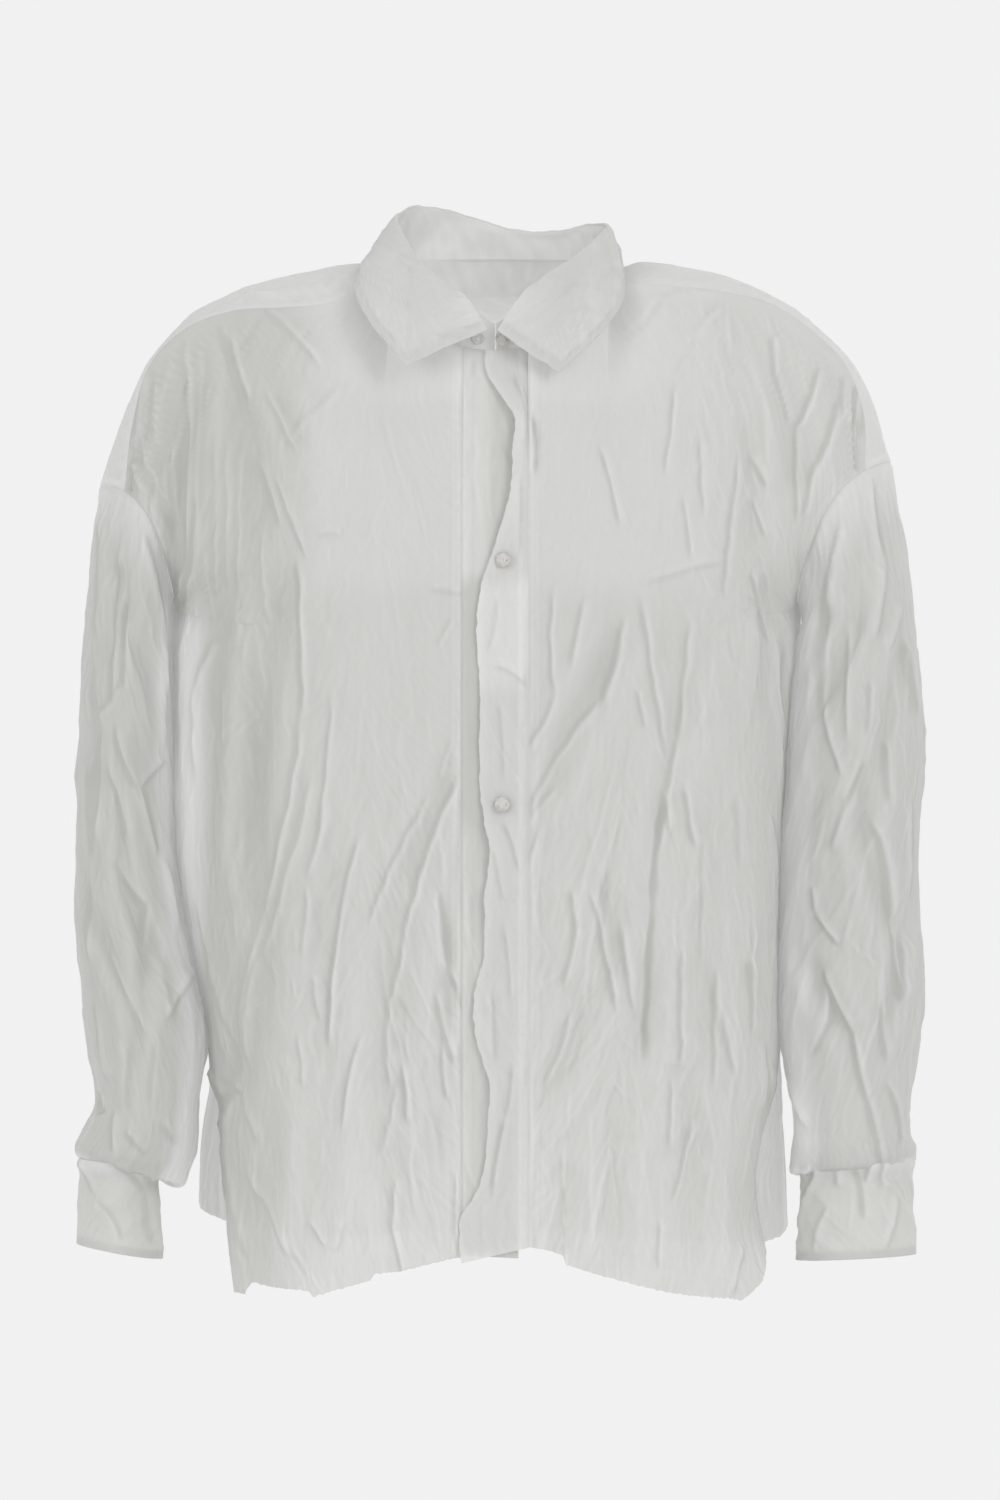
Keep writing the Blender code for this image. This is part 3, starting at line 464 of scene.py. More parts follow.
# Creases of both fronts as they lie in the front view. Rise is above 0 for a ridge and below
# 0 for a trough. Lean is from -1 to 1: which flank of the ridge is steep, 1 the one at +X.
FRONT_CREASES = (
    table(
        "x1 y1 x2 y2 bow width rise lean",
        (188, 345, 187, 560, 2, 5, 3.0, -0.8),
        (205, 350, 203, 520, 0, 5, 1.5, 0.5),
        (222, 328, 250, 420, 0, 5, -2.2, -0.3),
        (234, 338, 252, 402, -2, 4, 1.8, -0.6),
        (265, 310, 325, 370, 3, 5, 1.8, -0.5),
        (270, 395, 300, 455, 0, 4, 1.5, -0.6),
        (345, 390, 300, 432, 0, 6, 1.0, -0.5),
        (215, 390, 205, 430, 0, 3, 1.2, 0.4),
        (222, 440, 220, 600, 0, 3, 1.0, -0.6),
        (232, 450, 230, 590, 1, 3, 1.0, -0.6),
        (245, 440, 243, 600, -1, 3, 1.0, -0.6),
        (262, 460, 285, 530, 0, 4, 1.3, -0.6),
        (280, 480, 310, 560, 0, 4, 1.4, -0.6),
        (262, 530, 270, 620, 1, 4, 1.4, -0.5),
        (300, 560, 306, 720, 3, 6, 2.6, -0.7),
        (306, 715, 262, 925, 6, 6, 3.0, -0.7),
        (264, 915, 243, 1065, -5, 6, 3.0, -0.7),
        (243, 1055, 215, 1135, 3, 5, 2.0, -0.6),
        (314, 780, 262, 960, 6, 5, 2.2, -0.5),
        (262, 955, 248, 1065, -4, 4, 1.8, -0.5),
        (216, 640, 198, 695, 0, 4, 1.8, -0.5),
        (198, 690, 197, 780, 0, 4, 1.5, -0.5),
        (225, 690, 226, 745, 0, 3, 1.0, -0.5),
        (203, 500, 190, 610, 3, 4, 1.8, -0.4),
        (336, 690, 320, 850, 3, 4, 1.6, -0.6),
        (330, 800, 312, 875, 2, 4, 1.5, -0.5),
        (455, 620, 440, 650, 0, 3, 1.0, 0.0),
        (455, 740, 440, 780, 0, 3, 1.0, 0.0),
        (430, 590, 475, 595, 0, 3, 1.2, 0.0),
        (320, 535, 345, 535, 0, 3, 1.0, 0.0),
        (464, 770, 404, 945, -6, 5, 2.8, -0.6),
        (404, 940, 392, 1000, 2, 4, 2.2, -0.6),
        (392, 995, 392, 1085, -2, 4, 2.4, -0.6),
        (432, 795, 372, 925, -4, 4, 2.0, -0.5),
        (364, 835, 342, 930, -3, 4, 1.8, -0.5),
        (343, 922, 331, 1045, -3, 4, 2.8, -0.7),
        (366, 1030, 345, 1125, -3, 4, 1.9, -0.6),
        (403, 1060, 409, 1118, 2, 3, 1.8, -0.6),
        (398, 1085, 386, 1150, 0, 4, 1.6, -0.5),
        (397, 1175, 396, 1230, -1, 4, 2.0, -0.6),
        (396, 1225, 406, 1268, 0, 4, 2.0, -0.5),
        (440, 890, 450, 980, -3, 4, 2.4, 0.5),
        (446, 960, 468, 1012, 3, 4, 2.4, -0.4),
        (438, 988, 458, 1062, -2, 4, 2.6, -0.6),
        (445, 1040, 450, 1095, -2, 3, 1.8, -0.5),
        (470, 385, 478, 465, 4, 7, 2.2, 0.3),
        (457, 1165, 458, 1235, 0, 3, 1.5, -0.6),
        (250, 1165, 303, 1255, -3, 4, 1.6, -0.4),
        (212, 1068, 226, 1095, 0, 4, 2.2, -0.3),
        (226, 1090, 228, 1165, -1, 4, 1.8, -0.3),
        (228, 1160, 245, 1245, 2, 4, 1.8, -0.4),
        (228, 1075, 262, 1140, 4, 3, 1.4, -0.4),
        (317, 972, 322, 1018, 0, 3, 1.6, -0.6),
        (304, 1030, 308, 1085, 0, 3, 1.3, -0.5),
        (312, 885, 309, 955, 0, 3, 1.3, -0.5),
        (200, 895, 236, 1030, -3, 4, 1.6, -0.4),
        (215, 960, 232, 1060, -2, 3, 1.4, -0.4),
        (346, 1215, 336, 1245, 0, 4, 1.2, 0.3),
        (312, 1215, 326, 1240, 0, 3, 1.2, -0.3),
        (133, 400, 136, 450, 0, 3, 1.8, -0.4),
        (142, 380, 140, 440, 0, 3, 1.9, -0.4),
        (150, 370, 150, 430, 1, 3, 1.8, 0.4),
        (158, 380, 160, 450, 0, 3, 1.6, -0.4),
        (135, 465, 147, 495, 0, 3, 1.8, -0.4),
        (145, 440, 160, 500, 0, 3, 1.6, -0.4),
        (155, 470, 168, 505, 0, 3, 1.8, -0.4),
        (165, 460, 170, 520, 0, 3, 1.5, -0.4),
        (172, 440, 175, 530, 0, 3, 1.5, -0.4)),
    table(
        "x1 y1 x2 y2 bow width rise lean",
        (532, 418, 536, 478, 1, 3, -2.2, 0.4),
        (660, 300, 620, 345, 3, 8, 1.4, 0.3),
        (720, 293, 655, 303, -3, 7, 0.8, 0.0),
        (720, 305, 690, 340, 2, 6, 1.0, 0.0),
        (600, 450, 620, 530, 2, 4, 1.6, -0.6),
        (675, 390, 665, 480, 0, 4, 1.6, -0.6),
        (700, 440, 702, 520, 0, 4, 1.4, -0.6),
        (683, 500, 690, 560, 0, 3, 1.2, -0.6),
        (738, 460, 722, 600, -2, 4, 1.8, -0.6),
        (750, 458, 765, 491, 0, 3, 1.6, -0.4),
        (750, 500, 765, 540, 0, 3, 1.4, -0.4),
        (640, 585, 720, 562, 2, 4, 1.2, 0.0),
        (750, 572, 772, 642, -3, 4, 2.6, -0.6),
        (778, 630, 779, 810, 0, 3, 2.0, 0.5),
        (626, 618, 602, 708, 2, 5, 2.4, -0.5),
        (602, 700, 530, 812, -5, 5, 2.4, -0.5),
        (640, 598, 666, 752, -2, 4, 2.0, -0.5),
        (690, 620, 680, 740, -2, 5, 2.0, -0.5),
        (680, 735, 660, 850, -2, 5, 2.2, -0.5),
        (661, 800, 650, 905, -3, 5, -3.0, 0.2),
        (650, 900, 644, 1060, -2, 5, -3.0, 0.2),
        (664, 788, 669, 832, 0, 3, 1.6, -0.5),
        (683, 785, 693, 848, -1, 3, 1.8, -0.5),
        (555, 590, 556, 700, -3, 4, 1.6, -0.5),
        (556, 695, 525, 752, 4, 4, 1.6, -0.4),
        (585, 600, 570, 670, 0, 4, 1.5, -0.5),
        (637, 690, 645, 730, 0, 3, 1.2, -0.5),
        (556, 788, 530, 818, 0, 4, 1.6, -0.3),
        (543, 825, 520, 882, 0, 4, 1.6, -0.4),
        (572, 888, 576, 925, 0, 4, 1.8, -0.5),
        (576, 918, 563, 985, 3, 4, 2.2, -0.6),
        (591, 890, 615, 1008, 2, 4, 2.6, -0.7),
        (623, 925, 635, 1012, -1, 4, 1.8, -0.6),
        (679, 945, 678, 1062, 0, 3, 2.2, -0.6),
        (571, 1008, 545, 1082, 3, 4, 2.8, -0.6),
        (528, 1118, 515, 1212, 2, 4, 2.0, -0.5),
        (670, 1075, 667, 1142, 0, 3, 1.6, -0.6),
        (692, 1118, 670, 1200, 2, 3, 1.8, -0.6),
        (658, 1215, 655, 1262, 0, 4, 1.8, -0.5),
        (716, 965, 714, 1085, 1, 3, 1.2, -0.4),
        (722, 1010, 733, 1072, -1, 3, 1.4, -0.4),
        (746, 955, 750, 1035, 2, 3, 1.8, -0.5),
        (760, 1040, 762, 1110, 0, 3, 1.6, 0.3),
        (768, 815, 776, 880, 0, 3, 1.4, 0.4),
        (768, 1060, 778, 1118, 0, 4, 1.6, 0.4),
        (742, 1240, 727, 1290, 0, 6, 2.5, 0.5),
        (563, 1150, 565, 1205, 0, 3, 1.2, -0.4),
        (700, 830, 702, 965, 0, 5, 1.2, -0.3),
        (735, 795, 740, 870, 0, 4, 1.2, -0.3),
        (771, 340, 776, 380, 0, 4, 2.0, -0.6),
        (776, 375, 791, 425, 0, 4, 2.2, -0.6),
        (818, 372, 798, 430, 2, 4, 2.2, -0.5),
        (798, 425, 795, 525, 0, 4, 1.8, -0.5),
        (836, 405, 815, 470, 2, 5, 2.6, -0.6),
        (815, 465, 800, 520, 0, 4, 2.0, -0.5),
        (843, 380, 838, 425, 0, 3, 1.8, -0.4),
        (850, 385, 846, 430, 0, 3, 1.8, 0.4),
        (857, 388, 852, 425, 0, 3, 1.8, -0.4),
        (864, 395, 862, 440, 0, 3, 1.7, -0.4),
        (871, 400, 870, 450, 0, 3, 1.6, -0.4)))

# Creases of the sleeves' front halves, as they lie in the front view
SLEEVE_CREASES = (
    table(
        "x1 y1 x2 y2 bow width rise lean",
        (120, 560, 113, 660, 0, 5, -3.0, 0.2),
        (121, 552, 119, 640, 0, 3, 2.4, -0.5),
        (119, 635, 118, 700, -1, 3, 2.2, -0.5),
        (130, 600, 126, 690, 0, 4, -2.5, 0.0),
        (125, 685, 100, 722, 2, 4, 1.8, 0.0),
        (120, 728, 139, 787, -2, 4, 2.4, -0.5),
        (165, 758, 140, 787, 0, 3, 1.8, 0.3),
        (113, 765, 132, 840, 2, 4, 2.2, -0.5),
        (141, 788, 158, 855, -1, 5, 2.6, 0.5),
        (100, 735, 100, 840, 2, 3, 2.2, -0.4),
        (91, 760, 92, 860, 0, 3, 1.8, 0.4),
        (146, 535, 165, 640, 2, 6, 2.5, 0.5),
        (165, 640, 163, 750, 0, 5, 2.2, 0.5),
        (104, 510, 100, 640, 1, 4, 1.8, -0.4),
        (120, 858, 150, 905, -2, 4, 2.4, -0.4),
        (150, 900, 150, 945, 0, 4, 2.0, -0.4),
        (165, 858, 178, 932, 1, 4, 2.4, 0.4),
        (110, 948, 150, 1032, 0, 5, 2.4, -0.5),
        (195, 968, 165, 1018, 0, 5, 2.4, 0.4),
        (92, 880, 96, 960, 0, 4, 2.0, -0.4),
        (100, 1000, 112, 1080, 0, 4, 2.0, -0.4),
        (130, 1040, 128, 1110, 0, 4, 1.8, 0.4),
        (160, 1040, 155, 1100, 0, 4, 1.8, -0.4),
        (120, 1108, 118, 1150, 0, 3, 2.0, -0.4),
        (130, 1128, 150, 1150, 0, 3, 2.0, -0.4),
        (165, 1118, 180, 1142, 0, 3, 2.0, -0.4),
        (97, 1090, 104, 1112, 0, 4, -3.0, 0.0)),
    table(
        "x1 y1 x2 y2 bow width rise lean",
        (868, 478, 877, 565, -2, 4, 2.2, 0.6),
        (877, 560, 870, 640, 2, 4, 1.8, 0.5),
        (840, 520, 829, 610, -3, 5, 2.2, -0.5),
        (829, 605, 814, 720, -4, 6, -3.5, 0.0),
        (833, 555, 800, 700, -3, 7, 2.5, 0.3),
        (820, 700, 842, 775, -2, 4, 1.8, -0.5),
        (845, 625, 846, 745, 0, 4, 1.6, -0.4),
        (869, 680, 866, 735, 0, 3, 1.6, -0.4),
        (897, 605, 882, 650, 0, 4, 1.8, 0.5),
        (887, 740, 886, 805, 0, 3, 2.0, -0.4),
        (872, 820, 892, 930, 3, 4, 2.4, -0.6),
        (892, 925, 899, 1000, 0, 4, 2.4, -0.6),
        (812, 885, 814, 912, 0, 3, 1.6, -0.4),
        (814, 912, 838, 943, 0, 3, 2.2, -0.5),
        (858, 760, 842, 800, 0, 4, 1.8, 0.2),
        (852, 790, 830, 850, 0, 5, 2.0, -0.3),
        (822, 968, 853, 1032, -2, 5, 3.2, -0.7),
        (852, 1030, 866, 1100, -2, 5, 3.2, -0.7),
        (866, 1095, 880, 1160, -1, 5, 3.0, -0.7),
        (824, 975, 825, 1020, 0, 4, 2.4, 0.5),
        (825, 1015, 806, 1055, 2, 4, 2.0, 0.4),
        (788, 1075, 808, 1125, -1, 3, 2.2, -0.4),
        (885, 1080, 898, 1145, 3, 4, 2.2, -0.5),
        (878, 1000, 884, 1060, 0, 5, 2.0, -0.5),
        (905, 640, 912, 720, 0, 3, 2.0, -0.4),
        (903, 940, 900, 1000, 0, 3, 2.0, -0.4),
        (906, 800, 905, 900, 0, 4, 2.0, 0.4)))

# Creases of the cuffs' front halves, in the front view
CUFF_CREASES = (
    table(
        "x1 y1 x2 y2 bow width rise lean",
        (88, 1145, 101, 1192, -3, 4, 1.6, -0.4),
        (104, 1150, 148, 1188, 4, 4, 2.2, -0.4),
        (148, 1188, 156, 1242, -2, 5, 1.8, -0.4),
        (100, 1198, 122, 1236, 3, 4, 1.4, 0.3)),
    table(
        "x1 y1 x2 y2 bow width rise lean",
        (830, 1152, 799, 1232, -5, 5, 3.0, -0.6),
        (842, 1150, 836, 1184, 0, 4, 1.6, -0.4),
        (852, 1162, 861, 1216, 3, 5, -2.0, 0.0),
        (868, 1152, 865, 1180, 0, 3, 1.6, -0.5),
        (877, 1152, 881, 1186, 0, 3, 1.4, -0.5),
        (828, 1204, 813, 1250, -2, 4, 1.4, -0.4),
        (893, 1192, 881, 1244, 2, 4, 1.4, 0.3)))

# Creases of the over band, in the front view
BAND_CREASES = table(
    "x1 y1 x2 y2 bow width rise lean",
    (514, 376, 531, 418, -2, 3, -2.2, 0.4),
    (515, 380, 532, 425, 0, 3, 1.8, -0.5),
    (532, 420, 535, 455, 0, 3, 1.4, -0.5),
    (518, 480, 516, 560, 1, 3, 1.2, 0.4),
    (495, 665, 528, 685, 3, 3, 1.6, 0.0),
    (500, 600, 490, 655, 2, 4, 1.2, -0.4),
    (505, 820, 520, 870, 2, 3, 1.5, -0.4),
    (495, 845, 505, 900, 0, 3, 1.2, -0.4),
    (514, 1058, 508, 1112, 1, 4, 2.0, -0.5),
    (508, 1108, 494, 1190, -2, 4, 2.6, -0.5),
    (490, 990, 492, 1060, 0, 4, 1.4, 0.4),
    (500, 700, 505, 780, 2, 4, 1.2, -0.4),
    (505, 920, 512, 1000, 2, 3, 1.3, -0.4))

# Main creases of the back, from above it at the wearer's right to below at the left
BACK_CREASES = table(
    "x1 z1 x2 z2 bow width rise lean",
    (-170, -130, -150, -240, 4, 6, 2.4, 0.5),
    (-140, -110, -158, -210, -3, 5, 2.0, -0.5),
    (-110, -100, -96, -190, 2, 5, 1.8, 0.5),
    (-84, -98, -92, -260, 4, 6, 2.4, -0.6),
    (-52, -96, -46, -170, 0, 4, 1.6, 0.5),
    (-20, -95, -30, -250, -3, 5, 2.2, -0.6),
    (14, -95, 8, -180, 2, 4, 1.6, 0.5),
    (44, -96, 52, -230, 3, 5, 2.2, 0.6),
    (76, -98, 70, -200, 0, 5, 1.8, -0.5),
    (104, -100, 118, -250, -4, 6, 2.4, 0.6),
    (140, -110, 132, -200, 0, 5, 1.8, -0.5),
    (172, -130, 158, -250, 3, 6, 2.2, -0.5),
    (-175, -260, -160, -380, 3, 5, 2.2, 0.6),
    (-140, -300, -120, -430, 5, 6, 2.6, -0.6),
    (-104, -270, -84, -400, -4, 5, 2.0, 0.6),
    (-66, -330, -40, -450, 4, 6, 2.4, -0.6),
    (-24, -300, -36, -420, 0, 5, 2.0, 0.5),
    (10, -330, 34, -470, 5, 6, 2.6, -0.6),
    (48, -290, 40, -380, 0, 4, 1.8, 0.5),
    (84, -320, 62, -450, -5, 6, 2.6, 0.6),
    (116, -290, 130, -420, 4, 5, 2.2, -0.6),
    (160, -310, 150, -440, 0, 5, 2.0, 0.5),
    (-170, -420, -150, -520, 3, 5, 2.2, 0.6),
    (-128, -450, -140, -600, -4, 6, 2.6, -0.6),
    (-96, -430, -104, -560, 2, 5, 2.0, 0.5),
    (-58, -480, -50, -630, 3, 6, 2.6, -0.6),
    (-20, -450, -6, -540, 0, 5, 2.0, 0.5),
    (8, -500, -2, -630, -3, 6, 2.4, -0.6),
    (40, -470, 52, -570, 3, 5, 2.0, 0.5),
    (74, -480, 66, -630, -3, 6, 2.6, -0.6),
    (108, -450, 120, -600, 4, 6, 2.4, 0.6),
    (146, -470, 142, -610, 0, 5, 2.2, -0.6),
    (172, -450, 168, -560, 2, 5, 2.0, 0.5))

# Creases of the sleeves' hidden halves, by angle round the sleeve and height
SLEEVE_BACK_CREASES = table(
    "angle1 z1 angle2 z2 bow width rise lean",
    (200, -230, 225, -330, 4, 9, 2.4, 0.5),
    (240, -210, 228, -300, 0, 8, 2.0, -0.5),
    (270, -220, 285, -340, 4, 9, 2.4, 0.5),
    (310, -210, 300, -300, 0, 8, 2.0, -0.5),
    (340, -240, 350, -360, 4, 8, 2.2, 0.5),
    (215, -340, 240, -430, 5, 9, 2.6, -0.5),
    (255, -330, 240, -440, 0, 8, 2.2, 0.5),
    (290, -350, 310, -450, 5, 9, 2.6, -0.5),
    (330, -360, 320, -460, 0, 8, 2.0, 0.5),
    (200, -440, 220, -520, 4, 8, 2.4, -0.5),
    (250, -450, 270, -560, 5, 9, 2.6, 0.5),
    (300, -450, 285, -560, -4, 9, 2.4, -0.5),
    (340, -470, 330, -570, 0, 8, 2.2, 0.5),
    (230, -530, 240, -590, 0, 7, 2.2, -0.5),
    (270, -550, 265, -592, 0, 6, 2.0, 0.5),
    (310, -540, 315, -592, 0, 6, 2.2, -0.5))

# Lower edges of the fronts in the front view, from the wearer's right to the left
FRONT_HEM_EDGES = (
    table(
        "x y",
        (233, 1262),
        (236, 1290),
        (247, 1291),
        (251, 1279),
        (262, 1281),
        (285, 1283),
        (309, 1285),
        (315, 1291),
        (330, 1286),
        (372, 1274),
        (376, 1267),
        (400, 1265),
        (420, 1260),
        (440, 1255),
        (458, 1251),
        (470, 1251)),
    table(
        "x y",
        (520, 1240),
        (530, 1241),
        (545, 1243),
        (562, 1249),
        (565, 1258),
        (590, 1266),
        (615, 1273),
        (640, 1280),
        (670, 1287),
        (700, 1291),
        (728, 1294),
        (742, 1296),
        (752, 1288),
        (760, 1280),
        (764, 1266),
        (768, 1245)))


def spline(knots, values):
    """A smooth curve through values at rising knots, as a function of the knot value."""
    knots = np.asarray(knots, float)
    values = np.asarray(values, float)
    slopes = np.gradient(values, knots, axis=0)

    def at(t):
        t = np.clip(np.asarray(t, float), knots[0], knots[-1])
        i = np.clip(np.searchsorted(knots, t, side="right") - 1, 0, len(knots) - 2)
        step = knots[i + 1] - knots[i]
        f = (t - knots[i]) / step
        if values.ndim > 1:
            shape = f.shape + (1,) * (values.ndim - 1)
            f = f.reshape(shape)
            step = step.reshape(shape)
        start = (2 * f**3 - 3 * f**2 + 1) * values[i] + (f**3 - 2 * f**2 + f) * step * slopes[i]
        end = (3 * f**2 - 2 * f**3) * values[i + 1] + (f**3 - f**2) * step * slopes[i + 1]
        return start + end

    return at


def resample(points, shares):
    """Points at the given shares of a line's length."""
    steps = np.linalg.norm(np.diff(points, axis=0), axis=1)
    length = np.concatenate([[0], np.cumsum(steps)])
    return np.stack([np.interp(shares * length[-1], length, points[:, k]) for k in range(3)], 1)


def smooth_line(points, shares):
    """Points at the given shares of the smooth line through a few points."""
    points = np.asarray(points, float)
    knots = np.concatenate([[0], np.cumsum(np.linalg.norm(np.diff(points, axis=0), axis=1))])
    fine = spline(knots, points)(np.linspace(0, knots[-1], 200))
    return resample(fine, shares)


def ease(t):
    """0 below 0, 1 above 1, smooth between."""
    t = np.clip(t, 0, 1)
    return t * t * (3 - 2 * t)


def armhole(side, degrees):
    """Points of an armhole seam: 0 is its top, 90 its foremost point, 180 the armpit."""
    a = np.radians(np.asarray(degrees, float))
    row = {name: column[side] for name, column in ARMHOLE.items()}
    lean = np.sin(a) ** 2
    x = row["middle_x"] + row["top_x"] * np.cos(a) + row["bow_x"] * lean
    y = -row["half_depth"] * np.sin(a)
    z = row["middle_z"] + row["top_z"] * np.cos(a) + row["bow_z"] * lean
    return np.stack([x, y, z], -1)


def neckline(degrees):
    """Points of the neckline seam: 0 is the front, 90 the wearer's left, 180 the back."""
    degrees = np.asarray(degrees, float)
    a = np.radians(degrees)
    fold = np.abs((degrees + 180) % 360 - 180)
    middle = spline(NECKLINE["angle"], NECKLINE["middle_x"])(fold)
    x = middle + NECK_HALF_WIDTH * np.sin(a)
    y = NECK_MIDDLE_Y - NECK_HALF_DEPTH * np.cos(a)
    return np.stack([x, y, spline(NECKLINE["angle"], NECKLINE["z"])(fold)], -1)


def roll_line(degrees):
    """Points of the line on which the collar turns down."""
    degrees = np.asarray(degrees, float)
    a = np.radians(degrees)
    place = (degrees + 180) % 360 - 180
    spread = spline(ROLL_LINE["angle"], ROLL_LINE["spread"])(place)
    inward = spline(ROLL_LINE["angle"], ROLL_LINE["inward"])(place)
    rise = spline(ROLL_LINE["angle"], ROLL_LINE["rise"])(place)
    move = np.stack([spread * np.sin(a), inward * np.cos(a), rise], -1)
    return neckline(degrees) + move


def rows_of(columns):
    """A table's x, y and z columns as points."""
    return np.stack([columns["x"], columns["y"], columns["z"]], 1)


def yoke_line(side, seam, first, last):
    """A seam or ridge of the yoke, with its two end points."""
    return np.vstack([first, rows_of(seam[side]), last])


def front_top(side, neck_shares, seam_shares):
    """The top edge of a front: the neckline, then the yoke's front seam to the armhole."""
    sign = -1 if side == RIGHT else 1
    start = np.degrees(np.arcsin((BAND_SEAM_X[side] - NECKLINE["middle_x"][0]) / NECK_HALF_WIDTH))
    angles = start + (sign * NECK_CORNER_ANGLE - start) * neck_shares
    corner = neckline(sign * NECK_CORNER_ANGLE)
    seam = yoke_line(side, YOKE_FRONT, corner, armhole(side, YOKE_FRONT_END[side]))
    return np.vstack([neckline(angles), smooth_line(seam, seam_shares)[1:]])


def section(inner, outer, power, turn, shares):
    """Points of one level from the middle round to the side, along part of a superellipse."""
    share = np.linspace(0, 1, 120)
    a = np.radians(turn) * share
    across = np.sin(a) ** (2 / power)
    back = 1 - np.clip(np.cos(a), 0, 1) ** (2 / power)
    form = np.stack([across / across[-1], back / back[-1], share**1.6], 1)
    return resample(inner + (outer - inner) * form, shares)


def front_middle(z):
    """How far forward the middle of the chest lies at a height."""
    heights = -FRONT_LEVELS["middle_z"]
    return spline(heights, FRONT_LEVELS["middle_y"])(-np.asarray(z, float))


def front_form(side, neck_shares, seam_shares, levels):
    """A front without its folds, in rows from the top edge down."""
    top = front_top(side, neck_shares, seam_shares)
    shares = np.concatenate([NECK_SHARE * neck_shares, NECK_SHARE + (1 - NECK_SHARE) * seam_shares[1:]])
    ends = np.vstack([armhole(side, ARMHOLE_LEVELS), rows_of(FRONT_SIDE[side])])
    rows = [top]
    for i, end in enumerate(ends, start=1):
        inner = np.array([BAND_SEAM_X[side], FRONT_LEVELS["middle_y"][i], FRONT_LEVELS["middle_z"][i]])
        rows.append(section(inner, end, FRONT_LEVELS["power"][i], FRONT_LEVELS["turn"][i], shares))
    knots = -FRONT_LEVELS["middle_z"]
    grid = spline(knots, np.stack(rows))(levels)
    turns = [YOKE_FRONT_END[side], *ARMHOLE_LEVELS, 180]
    grid = fit_edge(grid, -1, side_edge(side, turns, knots, levels, FRONT_SIDE[side]), shares)
    return drop_to_hem(grid, shares, FRONT_HEM[side], levels, -FRONT_LEVELS["middle_z"][-1]), shares


def side_edge(side, turns, knots, levels, edge):
    """A panel's outer edge: along the armhole down to the armpit, then down the side seam."""
    armpit = len(turns) - 1
    angles = spline(knots[:armpit + 1], turns)(np.minimum(levels, knots[armpit]))
    heights = spline(knots[armpit:], edge["z"])(np.maximum(levels, knots[armpit]))
    x = spline(-edge["z"], edge["x"])(-heights)
    y = spline(-edge["z"], edge["y"])(-heights)
    below = np.stack([x, y, heights], 1)
    return np.where((levels < knots[armpit])[:, None], armhole(side, angles), below)


def fit_edge(grid, column, edge, shares):
    """Moves a panel's side onto its edge line, less and less away from it."""
    amount = shares[None, :, None] ** 2
    return grid + amount * (edge - grid[:, column])[:, None, :]


def drop_to_hem(grid, shares, hem, levels, base):
    """Stretches the lowest part of a panel down to its hem line."""
    hem_z = spline(hem["across"], hem["z"])(shares)
    amount = ease((levels / base - HEM_START) / (1 - HEM_START))
    grid[:, :, 2] += amount[:, None] * (hem_z - grid[-1, :, 2])[None, :]
    return grid


def back_form(shares, levels):
    """The back without its folds, in rows from the yoke down, its columns from right to left."""
    top = np.vstack([armhole(RIGHT, YOKE_BACK_END[RIGHT]), rows_of(YOKE_BACK[RIGHT])[::-1],
                     YOKE_BACK_MIDDLE, rows_of(YOKE_BACK[LEFT]), armhole(LEFT, YOKE_BACK_END[LEFT])])
    rows = [smooth_line(top, shares)]
    ends = [np.vstack([armhole(side, BACK_ARMHOLE_LEVELS), rows_of(BACK_SIDE[side])])
            for side in (RIGHT, LEFT)]
    half = np.linspace(0, 1, 60)
    for i in range(len(ends[RIGHT])):
        level = i + 1
        inner = np.array([2.0, BACK_LEVELS["middle_y"][level], BACK_LEVELS["middle_z"][level]])
        turn = 70 if i == 0 else 90
        right = section(inner, ends[RIGHT][i], BACK_LEVELS["power"][level], turn, half)
        left = section(inner, ends[LEFT][i], BACK_LEVELS["power"][level], turn, half)
        rows.append(resample(np.vstack([right[::-1], left[1:]]), shares))
    knots = -BACK_LEVELS["middle_z"]
    grid = spline(knots, np.stack(rows))(levels)
    for side, column in ((RIGHT, 0), (LEFT, -1)):
        turns = [YOKE_BACK_END[side], *BACK_ARMHOLE_LEVELS, -180]
        away = 1 - 2 * shares if side == RIGHT else 2 * shares - 1
        edge = side_edge(side, turns, knots, levels, BACK_SIDE[side])
        grid = fit_edge(grid, column, edge, np.clip(away, 0, 1))
    return drop_to_hem(grid, shares, BACK_HEM, levels, -BACK_LEVELS["middle_z"][-1])


def ring(row, angles):
    """One ring of a sleeve or cuff: angle 0 is its outer side and 90 its front."""
    a = np.radians(angles)
    outer = np.array([row["outer_x"], row["middle_y"], row["outer_z"]])
    inner = np.array([row["inner_x"], row["middle_y"], row["inner_z"]])
    middle = (outer + inner) / 2
    points = middle + np.cos(a)[:, None] * (outer - inner) / 2
    points[:, 1] -= row["half_depth"] * np.sin(a)
    return points


def ring_levels(rings, first=None):
    """How far down a tube each of its rings lies, along its outer and inner sides."""
    outer = np.stack([rings["outer_x"], rings["outer_z"]], 1)
    inner = np.stack([rings["inner_x"], rings["inner_z"]], 1)
    if first is not None:
        outer = np.vstack([first[0], outer])
        inner = np.vstack([first[1], inner])
    steps = sum(np.linalg.norm(np.diff(line, axis=0), axis=1) for line in (outer, inner)) / 2
    return np.concatenate([[0], np.cumsum(steps)])


def tube_form(rings, knots, angles, levels, top_ring=None):
    """A sleeve or cuff without its folds, in rings from the top down."""
    rows = [ring({name: column[i] for name, column in rings.items()}, angles)
            for i in range(len(rings["outer_x"]))]
    if top_ring is not None:
        rows.insert(0, top_ring)
    return spline(knots, np.stack(rows))(levels)


